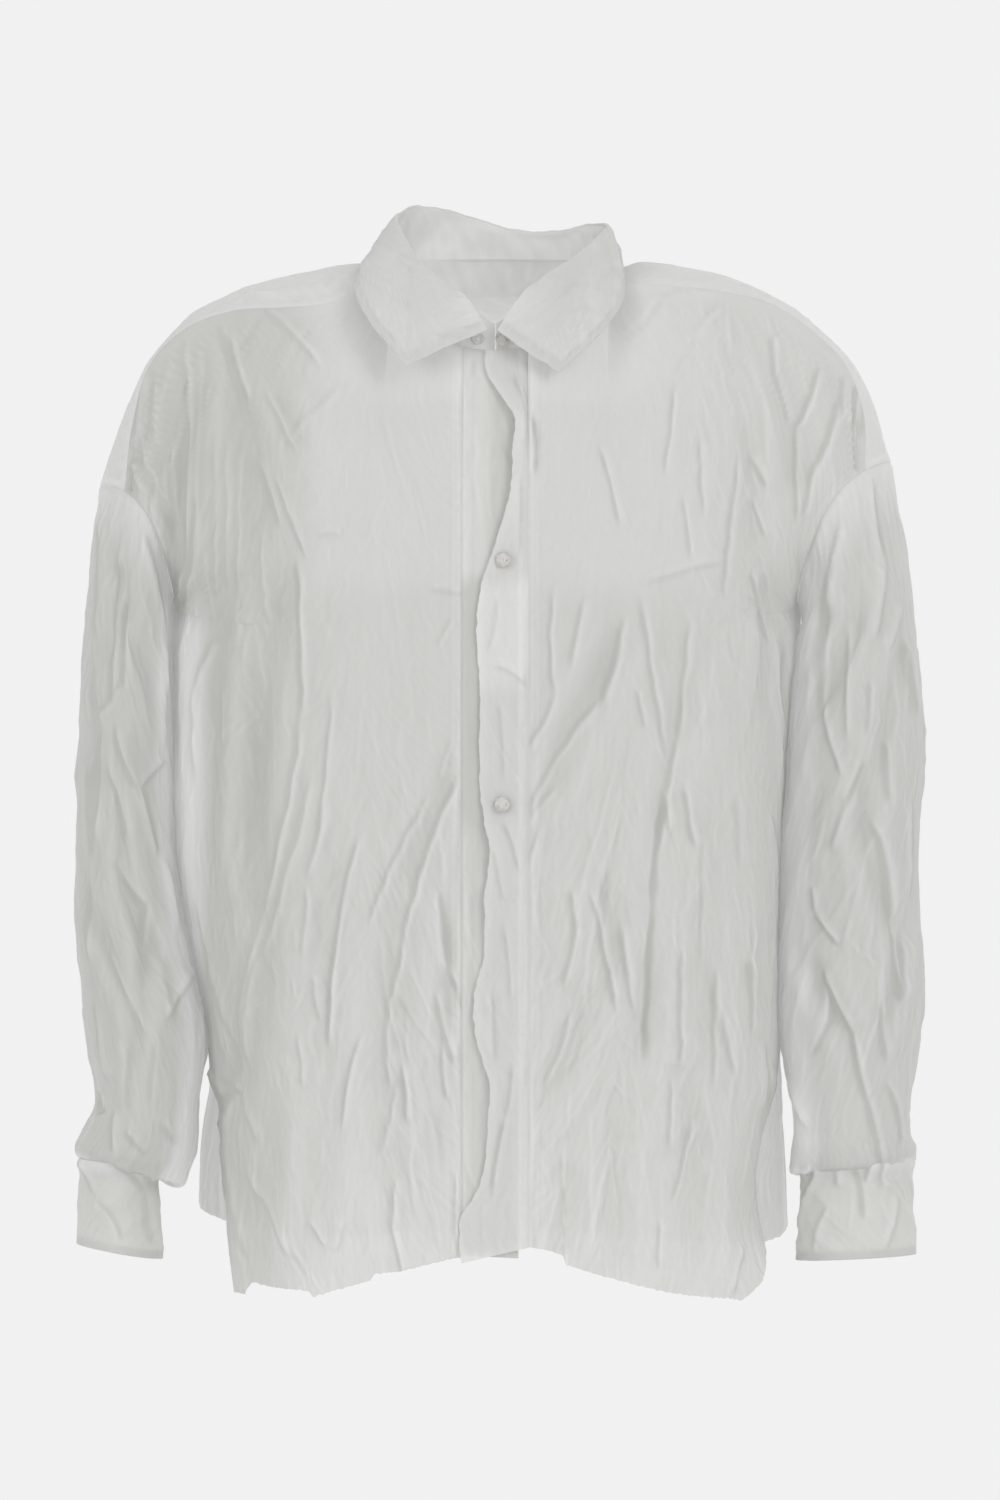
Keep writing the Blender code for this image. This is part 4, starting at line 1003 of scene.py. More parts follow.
def fold_height(across, along, folds, start, end):
    """Height of a set of folds at places on a panel, below 0 in a trough."""
    height = np.zeros_like(across)
    for x1, z1, x2, z2, bow, width, depth in zip(
            start[0], start[1], end[0], end[1], folds["bow"], folds["width"], folds["depth"]):
        length = np.hypot(x2 - x1, z2 - z1)
        ux, uz = (x2 - x1) / length, (z2 - z1) / length
        t = ((across - x1) * ux + (along - z1) * uz) / length
        off = (across - x1) * -uz + (along - z1) * ux
        off = off - bow * 4 * np.clip(t, 0, 1) * (1 - np.clip(t, 0, 1))
        fade = ease((t + 0.12) / 0.3) * ease((1.12 - t) / 0.3)
        trough = np.exp(-(off / width) ** 2)
        lip = np.exp(-((off - 1.7 * width) / width) ** 2) + np.exp(-((off + 1.7 * width) / width) ** 2)
        height += depth * fade * (FOLD_LIP * lip - trough)
    return height


def normals(grid, closed):
    """Unit normals of a grid of points, out of the side on which rows x columns turn."""
    if closed:
        wide = np.concatenate([grid[:, -1:], grid, grid[:, :1]], 1)
        across = (wide[:, 2:] - wide[:, :-2])
    else:
        across = np.gradient(grid, axis=1)
    down = np.gradient(grid, axis=0)
    normal = np.cross(down, across)
    return normal / np.linalg.norm(normal, axis=2, keepdims=True)


def raised(grid, height, closed=False, sign=1):
    """The grid moved out along its normals by a height at each point."""
    return grid + sign * normals(grid, closed) * height[:, :, None]


def edge_fade(shares, levels, reach=0.09, top=True, bottom=False):
    """1 inside a panel and 0 at its sewn edges."""
    across = ease(shares / reach) * ease((1 - shares) / reach)
    share = (levels - levels[0]) / (levels[-1] - levels[0])
    along = ease(share / reach) if top else np.ones_like(share)
    if bottom:
        along = along * ease((1 - share) / reach)
    return along[:, None] * across[None, :]


def yoke_form(neck_shares, shoulder_shares, across_shares):
    """The yoke: its rows run from the front seams and neckline to the back seam."""
    lines = []
    for seam, ends in ((YOKE_FRONT, YOKE_FRONT_END), (RIDGE, (0, 0)), (YOKE_BACK, YOKE_BACK_END)):
        halves = []
        for side in (RIGHT, LEFT):
            sign = -1 if side == RIGHT else 1
            first = {
                id(YOKE_FRONT): neckline(sign * NECK_CORNER_ANGLE),
                id(RIDGE): neckline(sign * 100) + np.array([sign * 4, 6, -1]),
                id(YOKE_BACK): np.array([sign * 66 + 2, 105, -89])}[id(seam)]
            line = yoke_line(side, seam, first, armhole(side, ends[side]))
            halves.append(smooth_line(line, shoulder_shares))
        lines.append(halves)
    angles = -NECK_CORNER_ANGLE - (360 - 2 * NECK_CORNER_ANGLE) * neck_shares
    neck = neckline(angles)
    back = smooth_line([lines[2][RIGHT][0], YOKE_BACK_MIDDLE, lines[2][LEFT][0]], neck_shares)
    middle = (neck + back) / 2
    bulge = np.sin(np.pi * neck_shares)
    ends = np.stack([lines[1][RIGHT][0], lines[1][LEFT][0]])
    near = 0.5 + 0.5 * np.cos(np.pi * np.clip(2 * neck_shares, 0, 1))
    far = 0.5 + 0.5 * np.cos(np.pi * np.clip(2 * (1 - neck_shares), 0, 1))
    ridge = middle + near[:, None] * (ends[0] - middle[0]) + far[:, None] * (ends[1] - middle[-1])
    ridge[:, 1] += 7 * bulge
    ridge[:, 2] += 5 * bulge
    front_row = np.vstack([lines[0][RIGHT][::-1], neck[1:-1], lines[0][LEFT]])
    ridge_row = np.vstack([lines[1][RIGHT][::-1], ridge[1:-1], lines[1][LEFT]])
    back_row = np.vstack([lines[2][RIGHT][::-1], back[1:-1], lines[2][LEFT]])
    for side in (RIGHT, LEFT):
        end = (0, -1)[side]
        ridge_row[end] = armhole(side, (YOKE_FRONT_END[side] + YOKE_BACK_END[side]) / 2)
    return arch(front_row, ridge_row, back_row, across_shares)


def arch(start, middle, end, shares):
    """Rows of points on the smooth arches from one line over a second to a third."""
    first = np.linalg.norm(middle - start, axis=1)
    second = np.linalg.norm(end - middle, axis=1)
    split = (first / (first + second))[None, :, None]
    t = shares[:, None, None]
    before = (t - split) * (t - 1) / (split)
    at_middle = t * (1 - t) / (split * (1 - split))
    after = t * (t - split) / (1 - split)
    return before * start + at_middle * middle + after * end


def collar_top(angles):
    """The collar's upper fold, with the small uneven waves of crushed cloth."""
    line = roll_line(angles)
    waves = 1.1 * noise(angles / 17, angles * 0, 21) + 0.5 * noise(angles / 6, angles * 0, 22)
    line[:, 2] += waves * ease((180 - np.abs(angles + 180)) / 30)
    return line


def leaf_form(angles, shares):
    """The collar's leaf, from its upper fold out and down to its edge."""
    points = rows_of(LEAF_EDGE)
    edge = spline(LEAF_EDGE["angle"], points)(angles)
    straight = np.stack([np.interp(angles, LEAF_EDGE["angle"], points[:, k]) for k in range(3)], 1)
    at_front = (angles < LEAF_TURN[0]) | (angles > LEAF_TURN[1])
    edge = np.where(at_front[:, None], straight, edge)
    edge[:, 2] += 0.9 * noise(angles / 7, angles * 0, 23)
    roll = collar_top(angles)
    away = edge - roll
    away[:, 2] = 0
    away /= np.linalg.norm(away, axis=1, keepdims=True)
    lift = roll + LEAF_LIFT[0] * away
    lift[:, 2] += LEAF_LIFT[1]
    t = shares[:, None, None]
    return roll * (1 - t) ** 2 + lift * 2 * t * (1 - t) + edge * t**2


def band_form(free_x, seam_x, levels, shares, hem, lift, depth):
    """A placket band: rows from the neckline down, columns from the free edge to the seam."""
    across = free_x[:, None] + (seam_x - free_x[:, None]) * shares[None, :]
    middle = NECKLINE["middle_x"][0]
    top = neckline(np.degrees(np.arcsin((across - middle) / NECK_HALF_WIDTH)))
    low = hem[0] + (hem[1] - hem[0]) * shares
    z = top[:, :, 2] + (low[None, :] - top[:, :, 2]) * levels[:, None]
    y = front_middle(z) + (top[:, :, 1] - front_middle(top[:, :, 2])) * ease(1 - 6 * levels)[:, None]
    y = y + depth - lift[:, None] * (1 - shares[None, :]) ** 1.5
    return np.stack([across, y, z], 2)


def in_view(rows, across=("x1", "x2"), down=("y1", "y2")):
    """A table of creases in the front view, turned into millimetres on the garment."""
    out = dict(rows)
    for k in (0, 1):
        out[("x1", "x2")[k]] = (rows[across[k]] - VIEW_ORIGIN[0]) * VIEW_STEP
        out[("z1", "z2")[k]] = (VIEW_ORIGIN[1] - rows[down[k]]) * VIEW_STEP
    out["bow"] = rows["bow"] * VIEW_STEP
    return out


# How round a crease's top is; and how far beside it, how wide and how strong its painted shade and painted
# highlight are
CREASE_ROUND = 0.18
CREASE_SHADE = (1.9, 1.9, 0.24, 0.09)


def noise(x, y, seed):
    """Smooth noise from about -1 to 1, its cells one unit wide."""
    random = np.random.default_rng(seed)
    order = random.permutation(512)
    turn = random.uniform(0, 2 * np.pi, 512)
    column = np.floor(x).astype(int)
    row = np.floor(y).astype(int)
    fx, fy = x - column, y - row

    def corner(i, j):
        place = order[((column + i) % 512 + order[(row + j) % 512]) % 512]
        return np.cos(turn[place]) * (fx - i) + np.sin(turn[place]) * (fy - j)

    sx = fx**3 * (fx * (fx * 6 - 15) + 10)
    sy = fy**3 * (fy * (fy * 6 - 15) + 10)
    near = corner(0, 0) * (1 - sx) + corner(1, 0) * sx
    far = corner(0, 1) * (1 - sx) + corner(1, 1) * sx
    return 1.5 * (near * (1 - sy) + far * sy)


def creases(across, along, rows, start=("x1", "z1"), end=("x2", "z2")):
    """Height and tone of sharp creases: each falls off from its line, with painted shade beside it on its
    steep side and a painted highlight on the other.
    """
    height = np.zeros_like(across)
    tone = np.zeros_like(across)
    for x1, z1, x2, z2, bow, width, rise, lean in zip(
            rows[start[0]], rows[start[1]], rows[end[0]], rows[end[1]],
            rows["bow"], rows["width"], rows["rise"], rows["lean"]):
        reach = 5 * width + abs(bow)
        near = (across > min(x1, x2) - reach) & (across < max(x1, x2) + reach)
        near &= (along > min(z1, z2) - reach) & (along < max(z1, z2) + reach)
        if not near.any():
            continue
        px, pz = across[near], along[near]
        length = max(np.hypot(x2 - x1, z2 - z1), 1.0)
        ux, uz = (x2 - x1) / length, (z2 - z1) / length
        t = ((px - x1) * ux + (pz - z1) * uz) / length
        off = (px - x1) * -uz + (pz - z1) * ux
        off = off - bow * 4 * np.clip(t, 0, 1) * (1 - np.clip(t, 0, 1))
        flank = np.where(off > 0, width * (1 - 0.8 * lean), width * (1 + 0.8 * lean))
        distance = np.sqrt((off / flank) ** 2 + CREASE_ROUND**2) - CREASE_ROUND
        fade = ease((t + 0.06) / 0.25) * ease((1.06 - t) / 0.25)
        height[near] += rise * fade * np.exp(-1.3 * distance)
        # Painted shade: a dark line beside each crease on its steep side; painted highlight: a light line
        # on its other side.
        steep = 1 if lean > 0 else -1
        pinch = np.exp(-((off - steep * CREASE_SHADE[0]) / CREASE_SHADE[1]) ** 2)
        painted_crest_light = np.exp(-((off + steep * CREASE_SHADE[0]) / CREASE_SHADE[1]) ** 2)
        tone[near] += abs(rise) * fade * (CREASE_SHADE[3] * painted_crest_light - CREASE_SHADE[2] * pinch)
    return height, tone


def strewn(count, seed, width, length, sizes, upright=1.0):
    """A seeded set of small creases over a panel, mostly along it."""
    random = np.random.default_rng(seed)
    x = random.uniform(-5, width + 5, count)
    z = random.uniform(-5, length + 5, count)
    turn = np.where(random.random(count) < 0.78 * upright, random.normal(0, 0.22, count),
                    random.normal(0, 0.95, count))
    reach = sizes[0] * np.exp(random.normal(0, 0.5, count))
    strength = random.uniform(0.35, 1.0, count) * random.choice([1, 1, -0.8], count)
    return {
        "x1": x - reach / 2 * np.sin(turn),
        "z1": z - reach / 2 * np.cos(turn),
        "x2": x + reach / 2 * np.sin(turn),
        "z2": z + reach / 2 * np.cos(turn),
        "bow": random.normal(0, 0.07, count) * reach,
        "width": random.uniform(0.55, 1.3, count) * sizes[1],
        "rise": strength * sizes[2],
        "lean": random.uniform(-0.8, 0.8, count)}


def cut_lengths(grid):
    """How far each point of a panel lies along its row and down its column."""
    across = np.linalg.norm(np.diff(grid, axis=1), axis=2)
    down = np.linalg.norm(np.diff(grid, axis=0), axis=2)
    u = np.concatenate([np.zeros((len(grid), 1)), np.cumsum(across, axis=1)], 1)
    v = np.concatenate([np.zeros((1, grid.shape[1])), np.cumsum(down, axis=0)], 0)
    return u, v


def crinkle(u, v, seed, strength=1.0, around=None):
    """The cloth's own crumple: strewn creases over long ridged noise, in millimetres."""
    warp_u = u + 3.5 * noise(u / 34, v / 46, seed + 1) + 1.4 * noise(u / 11, v / 17, seed + 2)
    warp_v = v + 5.0 * noise(u / 40, v / 52, seed + 3)
    width, length = u.max(), v.max()
    area = width * length / 1e4
    total = np.zeros_like(u)
    for step, (number, sizes) in enumerate((
            (7, (64, 8.0, 1.5)),
            (20, (30, 3.8, 0.8)),
            (44, (14, 2.2, 0.36)))):
        rows = strewn(int(number * area), seed + 10 + step, width, length, sizes)
        total += creases(warp_u, warp_v, rows)[0]
    total -= total.mean()
    for scale, tall, size in ((19.0, 44.0, 1.1), (9.0, 19.0, 0.5), (4.2, 7.5, 0.16)):
        total += size * (0.30 - np.abs(noise(warp_u / scale, warp_v / tall, seed + int(scale * 7))))
    total += 1.3 * noise(u / 46, v / 90, seed + 5)
    if around is not None:
        blend = ease((u - (around - 14)) / 14)
        total = total * (1 - blend) + total[:, :1] * blend
    return strength * total


def seam_gathers(along, distance, seed, size=0.8, wave=9.5, reach=13.0):
    """Small uneven gathers that run out from a seam, and the seam's own narrow groove."""
    sway = along + 3.0 * noise(along / 21, distance / 30, seed)
    waves = 0.5 - 1.6 * np.abs(noise(sway / wave, distance / 60, seed + 1))
    waves *= 0.55 + 0.6 * noise(along / 37, along * 0, seed + 3)
    fade = ease(distance / 2.5) * np.exp(-np.maximum(distance - 2, 0) / reach)
    groove = -0.35 * np.exp(-(distance / 1.4) ** 2)
    groove += 0.22 * ease(distance / 2) * ease((7.5 - distance) / 1.2)
    return size * waves * fade + groove


def show_tone(height, smooth, seam):
    """How light each point's cloth is: painted shade in hollows and creases and painted highlight on
    ridges, from the bend of its height; lighter where it is double.
    """
    around = sum(np.roll(height, step, 1) for step in (1, -1, 2, -2)) / 4
    # Painted shade and highlight: the height's bend against its neighbours darkens hollows and lightens
    # ridges.
    relief_painted_shade = height - around
    relief_painted_shade[:, :2] = 0
    relief_painted_shade[:, -2:] = 0
    return np.clip(0.5 + 0.7 * np.clip(relief_painted_shade, -0.5, 0.5) + smooth + 0.06 * seam, 0, 2)


def cloth(name, grid, uv, tone, closed=False, flip=False):
    """A fine sheet through a grid of points, in millimetres, with its cut as UV and its tone."""
    rows, columns = grid.shape[:2]
    mesh = bpy.data.meshes.new(name)
    r, c = np.meshgrid(np.arange(rows - 1), np.arange(columns - 1), indexing="ij")
    a = (r * columns + c).ravel()
    quads = np.stack([a, a + columns, a + columns + 1, a + 1], 1)
    if flip:
        quads = quads[:, ::-1]
    mesh.from_pydata((grid.reshape(-1, 3) * MM).tolist(), [], quads.tolist())
    layer = mesh.uv_layers.new(name="cut")
    flat = np.stack([uv[0], uv[1]], -1).reshape(-1, 2) * MM
    layer.data.foreach_set("uv", flat[quads.ravel()].ravel())
    shade = mesh.color_attributes.new("tone", "FLOAT_COLOR", "POINT")
    value = np.repeat(tone.reshape(-1, 1), 4, 1)
    value[:, 3] = 1
    shade.data.foreach_set("color", value.ravel())
    if closed:
        weld(mesh)
    mesh.shade_smooth()
    thing = bpy.data.objects.new(name, mesh)
    bpy.context.scene.collection.objects.link(thing)
    return thing


def weld(mesh):
    """Joins a tube's first and last columns."""
    shape = bmesh.new()
    shape.from_mesh(mesh)
    bmesh.ops.remove_doubles(shape, verts=shape.verts, dist=2e-6)
    shape.to_mesh(mesh)
    shape.free()


def voile(name, light=(0.722, 0.724, 0.714), dark=(0.540, 0.539, 0.516), through=0.40, sheer=0.06):
    """Crinkled voile: rough, a little see-through, with a fine uneven weave."""
    material = bpy.data.materials.new(name)
    material.use_nodes = True
    nodes, links = material.node_tree.nodes, material.node_tree.links
    nodes.clear()
    out = nodes.new("ShaderNodeOutputMaterial")
    shader = nodes.new("ShaderNodeBsdfPrincipled")
    shader.inputs["Roughness"].default_value = 0.82
    shader.inputs["Specular IOR Level"].default_value = 0.22
    shader.inputs["Sheen Weight"].default_value = 0.12
    shader.inputs["Sheen Roughness"].default_value = 0.5
    behind = nodes.new("ShaderNodeBsdfTranslucent")
    clear = nodes.new("ShaderNodeBsdfTransparent")
    lit = nodes.new("ShaderNodeMixShader")
    lit.inputs[0].default_value = through
    seen = nodes.new("ShaderNodeMixShader")
    seen.inputs[0].default_value = sheer
    links.new(shader.outputs[0], lit.inputs[1])
    links.new(behind.outputs[0], lit.inputs[2])
    links.new(lit.outputs[0], seen.inputs[1])
    links.new(clear.outputs[0], seen.inputs[2])
    links.new(seen.outputs[0], out.inputs["Surface"])

    tone = nodes.new("ShaderNodeVertexColor")
    tone.layer_name = "tone"
    place = nodes.new("ShaderNodeUVMap")
    place.uv_map = "cut"

    def cloud(scale, detail, kind="FBM"):
        stretch = nodes.new("ShaderNodeMapping")
        stretch.inputs["Scale"].default_value = scale
        links.new(place.outputs[0], stretch.inputs["Vector"])
        texture = nodes.new("ShaderNodeTexNoise")
        texture.noise_type = kind
        texture.inputs["Scale"].default_value = 1.0
        texture.inputs["Detail"].default_value = detail
        links.new(stretch.outputs[0], texture.inputs["Vector"])
        return texture

    blotch = cloud((26, 14, 1), 3)
    slub_down = cloud((1500, 22, 1), 2)
    slub_across = cloud((30, 1300, 1), 2)
    pinch = cloud((210, 90, 1), 3, "RIDGED_MULTIFRACTAL")
    crumb = cloud((120, 75, 1), 4)

    def maths(kind, one, two):
        node = nodes.new("ShaderNodeMath")
        node.operation = kind
        for socket, value in ((0, one), (1, two)):
            if isinstance(value, (int, float)):
                node.inputs[socket].default_value = value
            else:
                links.new(value, node.inputs[socket])
        return node.outputs[0]

    threads = maths("ADD", slub_down.outputs["Fac"], slub_across.outputs["Fac"])
    speckle = maths("ADD", maths("MULTIPLY", threads, 0.10), maths("MULTIPLY", blotch.outputs["Fac"], 0.22))
    # The tone attribute sets each point between the dark and light colours; it carries painted shade and
    # painted highlights along with the cloth's own doubled seams and random variation.
    amount = maths("ADD", tone.outputs["Color"], maths("SUBTRACT", speckle, 0.21))
    colour = nodes.new("ShaderNodeMix")
    colour.data_type = "RGBA"
    colour.clamp_factor = False
    colour.inputs["A"].default_value = (*dark, 1)
    colour.inputs["B"].default_value = (*light, 1)
    links.new(amount, colour.inputs["Factor"])
    links.new(colour.outputs["Result"], shader.inputs["Base Color"])
    links.new(colour.outputs["Result"], behind.inputs["Color"])

    pinched = maths("MULTIPLY", pinch.outputs["Fac"], 0.30)
    crumbled = maths("MULTIPLY", crumb.outputs["Fac"], 0.8)
    relief = maths("ADD", pinched, crumbled)
    relief = maths("ADD", relief, maths("MULTIPLY", threads, 0.10))
    bump = nodes.new("ShaderNodeBump")
    bump.inputs["Strength"].default_value = 0.40
    bump.inputs["Distance"].default_value = 0.001
    links.new(relief, bump.inputs["Height"])
    links.new(bump.outputs[0], shader.inputs["Normal"])
    links.new(bump.outputs[0], behind.inputs["Normal"])
    return material


def dress(thing, node, material):
    """Puts cloth in its solid's place, with its material, and hides the solid."""
    thing.data.materials.append(material)
    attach(thing, "root")
    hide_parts(node)
    return thing


def zone_tone(x, z):
    """Broad light and dark zones of the fronts: a pale chest, greyer below, pale by one corner, and painted
    shade on the outer side at the wearer's right.
    """
    chest = 0.16 * ease((z + 228) / 30) * ease((150 - np.abs(x - 8)) / 30)
    corner = 0.08 * ease((-425 - z) / 90) * ease((x + 160) / 20) * ease((-55 - x) / 40)
    # Painted shade: the outer side at the wearer's right, away from the key lamp, is darkened.
    outside = -0.38 * ease((-x - 105) / 55)
    return chest + corner + outside


def rough_zone(x, z):
    """How strong the small creases of the fronts are: slight on the chest, full low and outside."""
    outside = ease((np.abs(x) - 85) / 70)
    low = ease((-z - 250) / 190)
    shoulder = 0.5 * ease((np.abs(x) - 190) / 40) * ease((z + 260) / 60)
    return 0.34 + 0.62 * np.maximum(outside * 0.85, low) + shoulder


def front_cloth(side, material):
    """One front, creased as in the view, its lower edge raw."""
    neck_shares = np.linspace(0, 1, 56)
    seam_shares = np.linspace(0, 1, 176)
    levels = np.concatenate([np.linspace(59, 245, 110), np.linspace(245, 650, 241)[1:]])
    grid, shares = front_form(side, neck_shares, seam_shares, levels)
    hem = FRONT_HEM_EDGES[side]
    hem_x = (hem["x"] - VIEW_ORIGIN[0]) * VIEW_STEP
    hem_z = (VIEW_ORIGIN[1] - hem["y"]) * VIEW_STEP
    ragged = 0.8 * noise(grid[-1, :, 0] / 3.1, grid[-1, :, 0] * 0, 40 + side)
    edge = np.interp(grid[-1, :, 0], hem_x, hem_z) + ragged
    amount = ease((levels / FRONT_LENGTH - HEM_START) / (1 - HEM_START))
    grid[:, :, 2] += amount[:, None] * (edge - grid[-1, :, 2])[None, :]
    u, v = cut_lengths(grid)
    x, z = grid[:, :, 0], grid[:, :, 2]
    folds = FRONT_FOLDS[side]
    big = fold_height(x, z, folds, (folds["x1"], folds["z1"]), (folds["x2"], folds["z2"]))
    wavy = x + 1.2 * noise(u / 12, v / 19, 60 + side)
    placed, shade = creases(wavy, z, in_view(FRONT_CREASES[side]))
    own = crinkle(u, v, 100 + 40 * side) * rough_zone(x, z)
    inner = u
    outer = u[:, -1:] - u
    fade = edge_fade(shares, levels, reach=0.018)
    height = (0.9 * big * edge_fade(shares, levels, reach=0.05) + 1.25 * placed + own) * fade
    height += seam_gathers(v, inner, 70 + side, size=1.0) * ease(v / 20)
    height += seam_gathers(v, outer, 74 + side, size=0.5) * ease(v / 12)
    height += seam_gathers(u, v, 78 + side, size=0.3, reach=8.0) * ease(inner / 10) * ease(outer / 10)
    seam = np.clip(ease((8 - inner) / 1.5) + ease((8 - outer) / 1.5) + ease((8 - v) / 1.5), 0, 1)
    sign = 1 if side == LEFT else -1
    # Painted light: the side below the armpit, in the gap by the sleeve, is lightened against the shade
    # there.
    painted_gap_light = ease((x * (1, -1)[side] + 186) / -18) * ease((-z - 215) / 30)
    # Painted light: the front just under the collar leaf is lightened against the shadow the leaf casts.
    painted_light_under_collar = ease((125 - np.abs(x)) / 60) * ease((z + 110) / 60)
    tone = show_tone(height, zone_tone(x, z) + 1.4 * painted_gap_light + 0.55 * painted_light_under_collar + shade, seam)
    grid = raised(grid, height, sign=sign)
    name = ("front_right", "front_left")[side]
    thing = cloth(f"voile_{name}", grid, (u, v), tone, flip=sign < 0)
    return dress(thing, name, material)


def back_cloth(material):
    """The back below the yoke."""
    shares = np.linspace(0, 1, 281)
    levels = np.linspace(88, 617, 241)
    grid = back_form(shares, levels)
    ragged = 0.8 * noise(grid[-1, :, 0] / 3.1, grid[-1, :, 0] * 0, 49)
    grid[-60:, :, 2] += ease(np.linspace(0, 1, 60))[:, None] * ragged
    u, v = cut_lengths(grid)
    x, z = grid[:, :, 0], grid[:, :, 2]
    start, end = (BACK_FOLDS["x1"], BACK_FOLDS["z1"]), (BACK_FOLDS["x2"], BACK_FOLDS["z2"])
    big = fold_height(x, z, BACK_FOLDS, start, end)
    placed, shade = creases(x + 1.5 * noise(u / 12, v / 19, 61), z, BACK_CREASES)
    own = crinkle(u, v, 300)
    outer = np.minimum(u, u[:, -1:] - u)
    height = (0.9 * big + 1.2 * placed + own) * edge_fade(shares, levels, reach=0.05)
    height += seam_gathers(v, outer, 80, size=0.7) * ease(v / 12)
    height += seam_gathers(u, v, 81, size=0.9) * ease(outer / 10)
    seam = np.clip(ease((8 - outer) / 1.5) + ease((8 - v) / 1.5), 0, 1)
    tone = show_tone(height, 0.8 * ease((30 - outer) / 25) + shade, seam)
    grid = raised(grid, height, sign=-1)
    thing = cloth("voile_back", grid, (u, v), tone, flip=True)
    return dress(thing, "back", material)


def yoke_cloth(material):
    """The yoke over the shoulders."""
    grid = yoke_form(np.linspace(0, 1, 91), np.linspace(0, 1, 131), np.linspace(0, 1, 91))
    u, v = cut_lengths(grid)
    own = crinkle(v, u, 400, 0.75)
    ends = np.minimum(u, u[:, -1:] - u)
    below = v[-1:] - v
    fade = ease(v / 9) * ease(below / 9) * ease(ends / 9)
    height = own * fade
    height += seam_gathers(u, v, 82, size=0.5) * ease(ends / 10)
    height += seam_gathers(u, below, 83, size=0.8) * ease(ends / 10)
    height += seam_gathers(v, ends, 84, size=0.7) * ease(v / 10) * ease(below / 10)
    seam = np.clip(ease((8 - ends) / 1.5) + ease((8 - v) / 1.5) + ease((8 - below) / 1.5), 0, 1)
    # Painted light: the whole yoke is lightened as if lit from above, and more inside the back of the neck
    # against the shade there.
    painted_nape_light = 0.55 * ease((95 - np.abs(grid[:, :, 0])) / 25) * ease((grid[:, :, 1] - 20) / 20)
    tone = show_tone(height, 0.45 + painted_nape_light, seam)
    grid = raised(grid, height, sign=-1)
    thing = cloth("voile_yoke", grid, (u, v), tone, flip=True)
    return dress(thing, "yoke", material)


def tube_creases(grid, angles, side, rows):
    """Creases given in the front view, kept to a tube's front half."""
    facing = ease(np.sin(np.radians(angles)) / 0.25)[None, :]
    height, tone = creases(grid[:, :, 0], grid[:, :, 2], in_view(rows[side]))
    return height * facing, tone * facing


# How much further each sleeve leans on the body below the armpit
SLEEVE_LEAN = (0.0, 9.0)


def sleeve_cloth(side, material):
    """One sleeve."""
    angles = np.linspace(0, 360, 281)
    rings = SLEEVE_RINGS[side]
    knots = ring_levels(rings, (armhole(side, 0)[[0, 2]], armhole(side, 180)[[0, 2]]))
    levels = np.concatenate([np.linspace(0, knots[-4], 221), np.linspace(knots[-4], knots[-1], 25)[1:]])
    grid = tube_form(rings, knots, angles, levels, armhole(side, angles))
    u, v = cut_lengths(grid)
    lean = ease((-np.cos(np.radians(angles)) - 0.2) / 0.6)[None, :]
    lean = lean * ease((v - 6) / 34) * ease((levels[-1] - 60 - levels) / 50)[:, None]
    high = SLEEVE_LEAN[side] * np.exp(-((grid[:, :, 2] + 252) / 24) ** 2)
    grid[:, :, 0] += (5.0 + high) * (1, -1)[side] * lean
    folds = SLEEVE_FOLDS[side]
    share = levels / knots[-1]
    around = np.broadcast_to(angles, grid.shape[:2])
    start, end = (folds["angle1"], folds["z1"]), (folds["angle2"], folds["z2"])
    big = sum(fold_height(around + turn, grid[:, :, 2], folds, start, end) for turn in (0, 360))
    fade = ease(share / 0.1) * ease((0.85 - share) / 0.1)
    placed, shade = tube_creases(grid, angles, side, SLEEVE_CREASES)
    hidden = creases(around, grid[:, :, 2], SLEEVE_BACK_CREASES, ("angle1", "z1"), ("angle2", "z2"))[0]
    own = crinkle(u, v, 500 + 50 * side, around=u[:, -1:])
    below = v[-1:] - v
    height = 0.9 * big * fade[:, None]
    height += (1.25 * placed + 1.2 * hidden + own) * ease(v / 9) * ease(below / 7)
    height += seam_gathers(u, v, 85 + side, size=0.9)
    height += seam_gathers(u, below, 87 + side, size=1.2, reach=18)
    height[:, -1] = height[:, 0]
    seam = np.clip(ease((8 - v) / 1.5) + ease((8 - below) / 1.5), 0, 1)
    # Painted light: the inner side against the body, the top by the armhole and the lower end over the cuff
    # are lightened against the shade that falls there.
    inner = ease((-np.cos(np.radians(around)) - 0.45) / 0.4)
    ends = 0.6 * ease((9 - below) / 6) + 0.45 * ease((45 - v) / 40)
    front = (-0.22, -0.05)[side] * ease((np.sin(np.radians(around)) - 0.3) / 0.4)
    tone = show_tone(height, 1.4 * inner + front + ends + shade, seam)
    sign = 1 if side == RIGHT else -1
    grid = raised_ring(grid, height, sign)
    name = ("sleeve_right", "sleeve_left")[side]
    thing = cloth(f"voile_{name}", grid, (u, v), tone, closed=True, flip=sign < 0)
    return dress(thing, name, material)


def raised_ring(grid, height, sign):
    """A tube, whose first and last columns are the same line, moved out along its normals."""
    body = raised(grid[:, :-1], height[:, :-1], closed=True, sign=sign)
    return np.concatenate([body, body[:, :1]], 1)


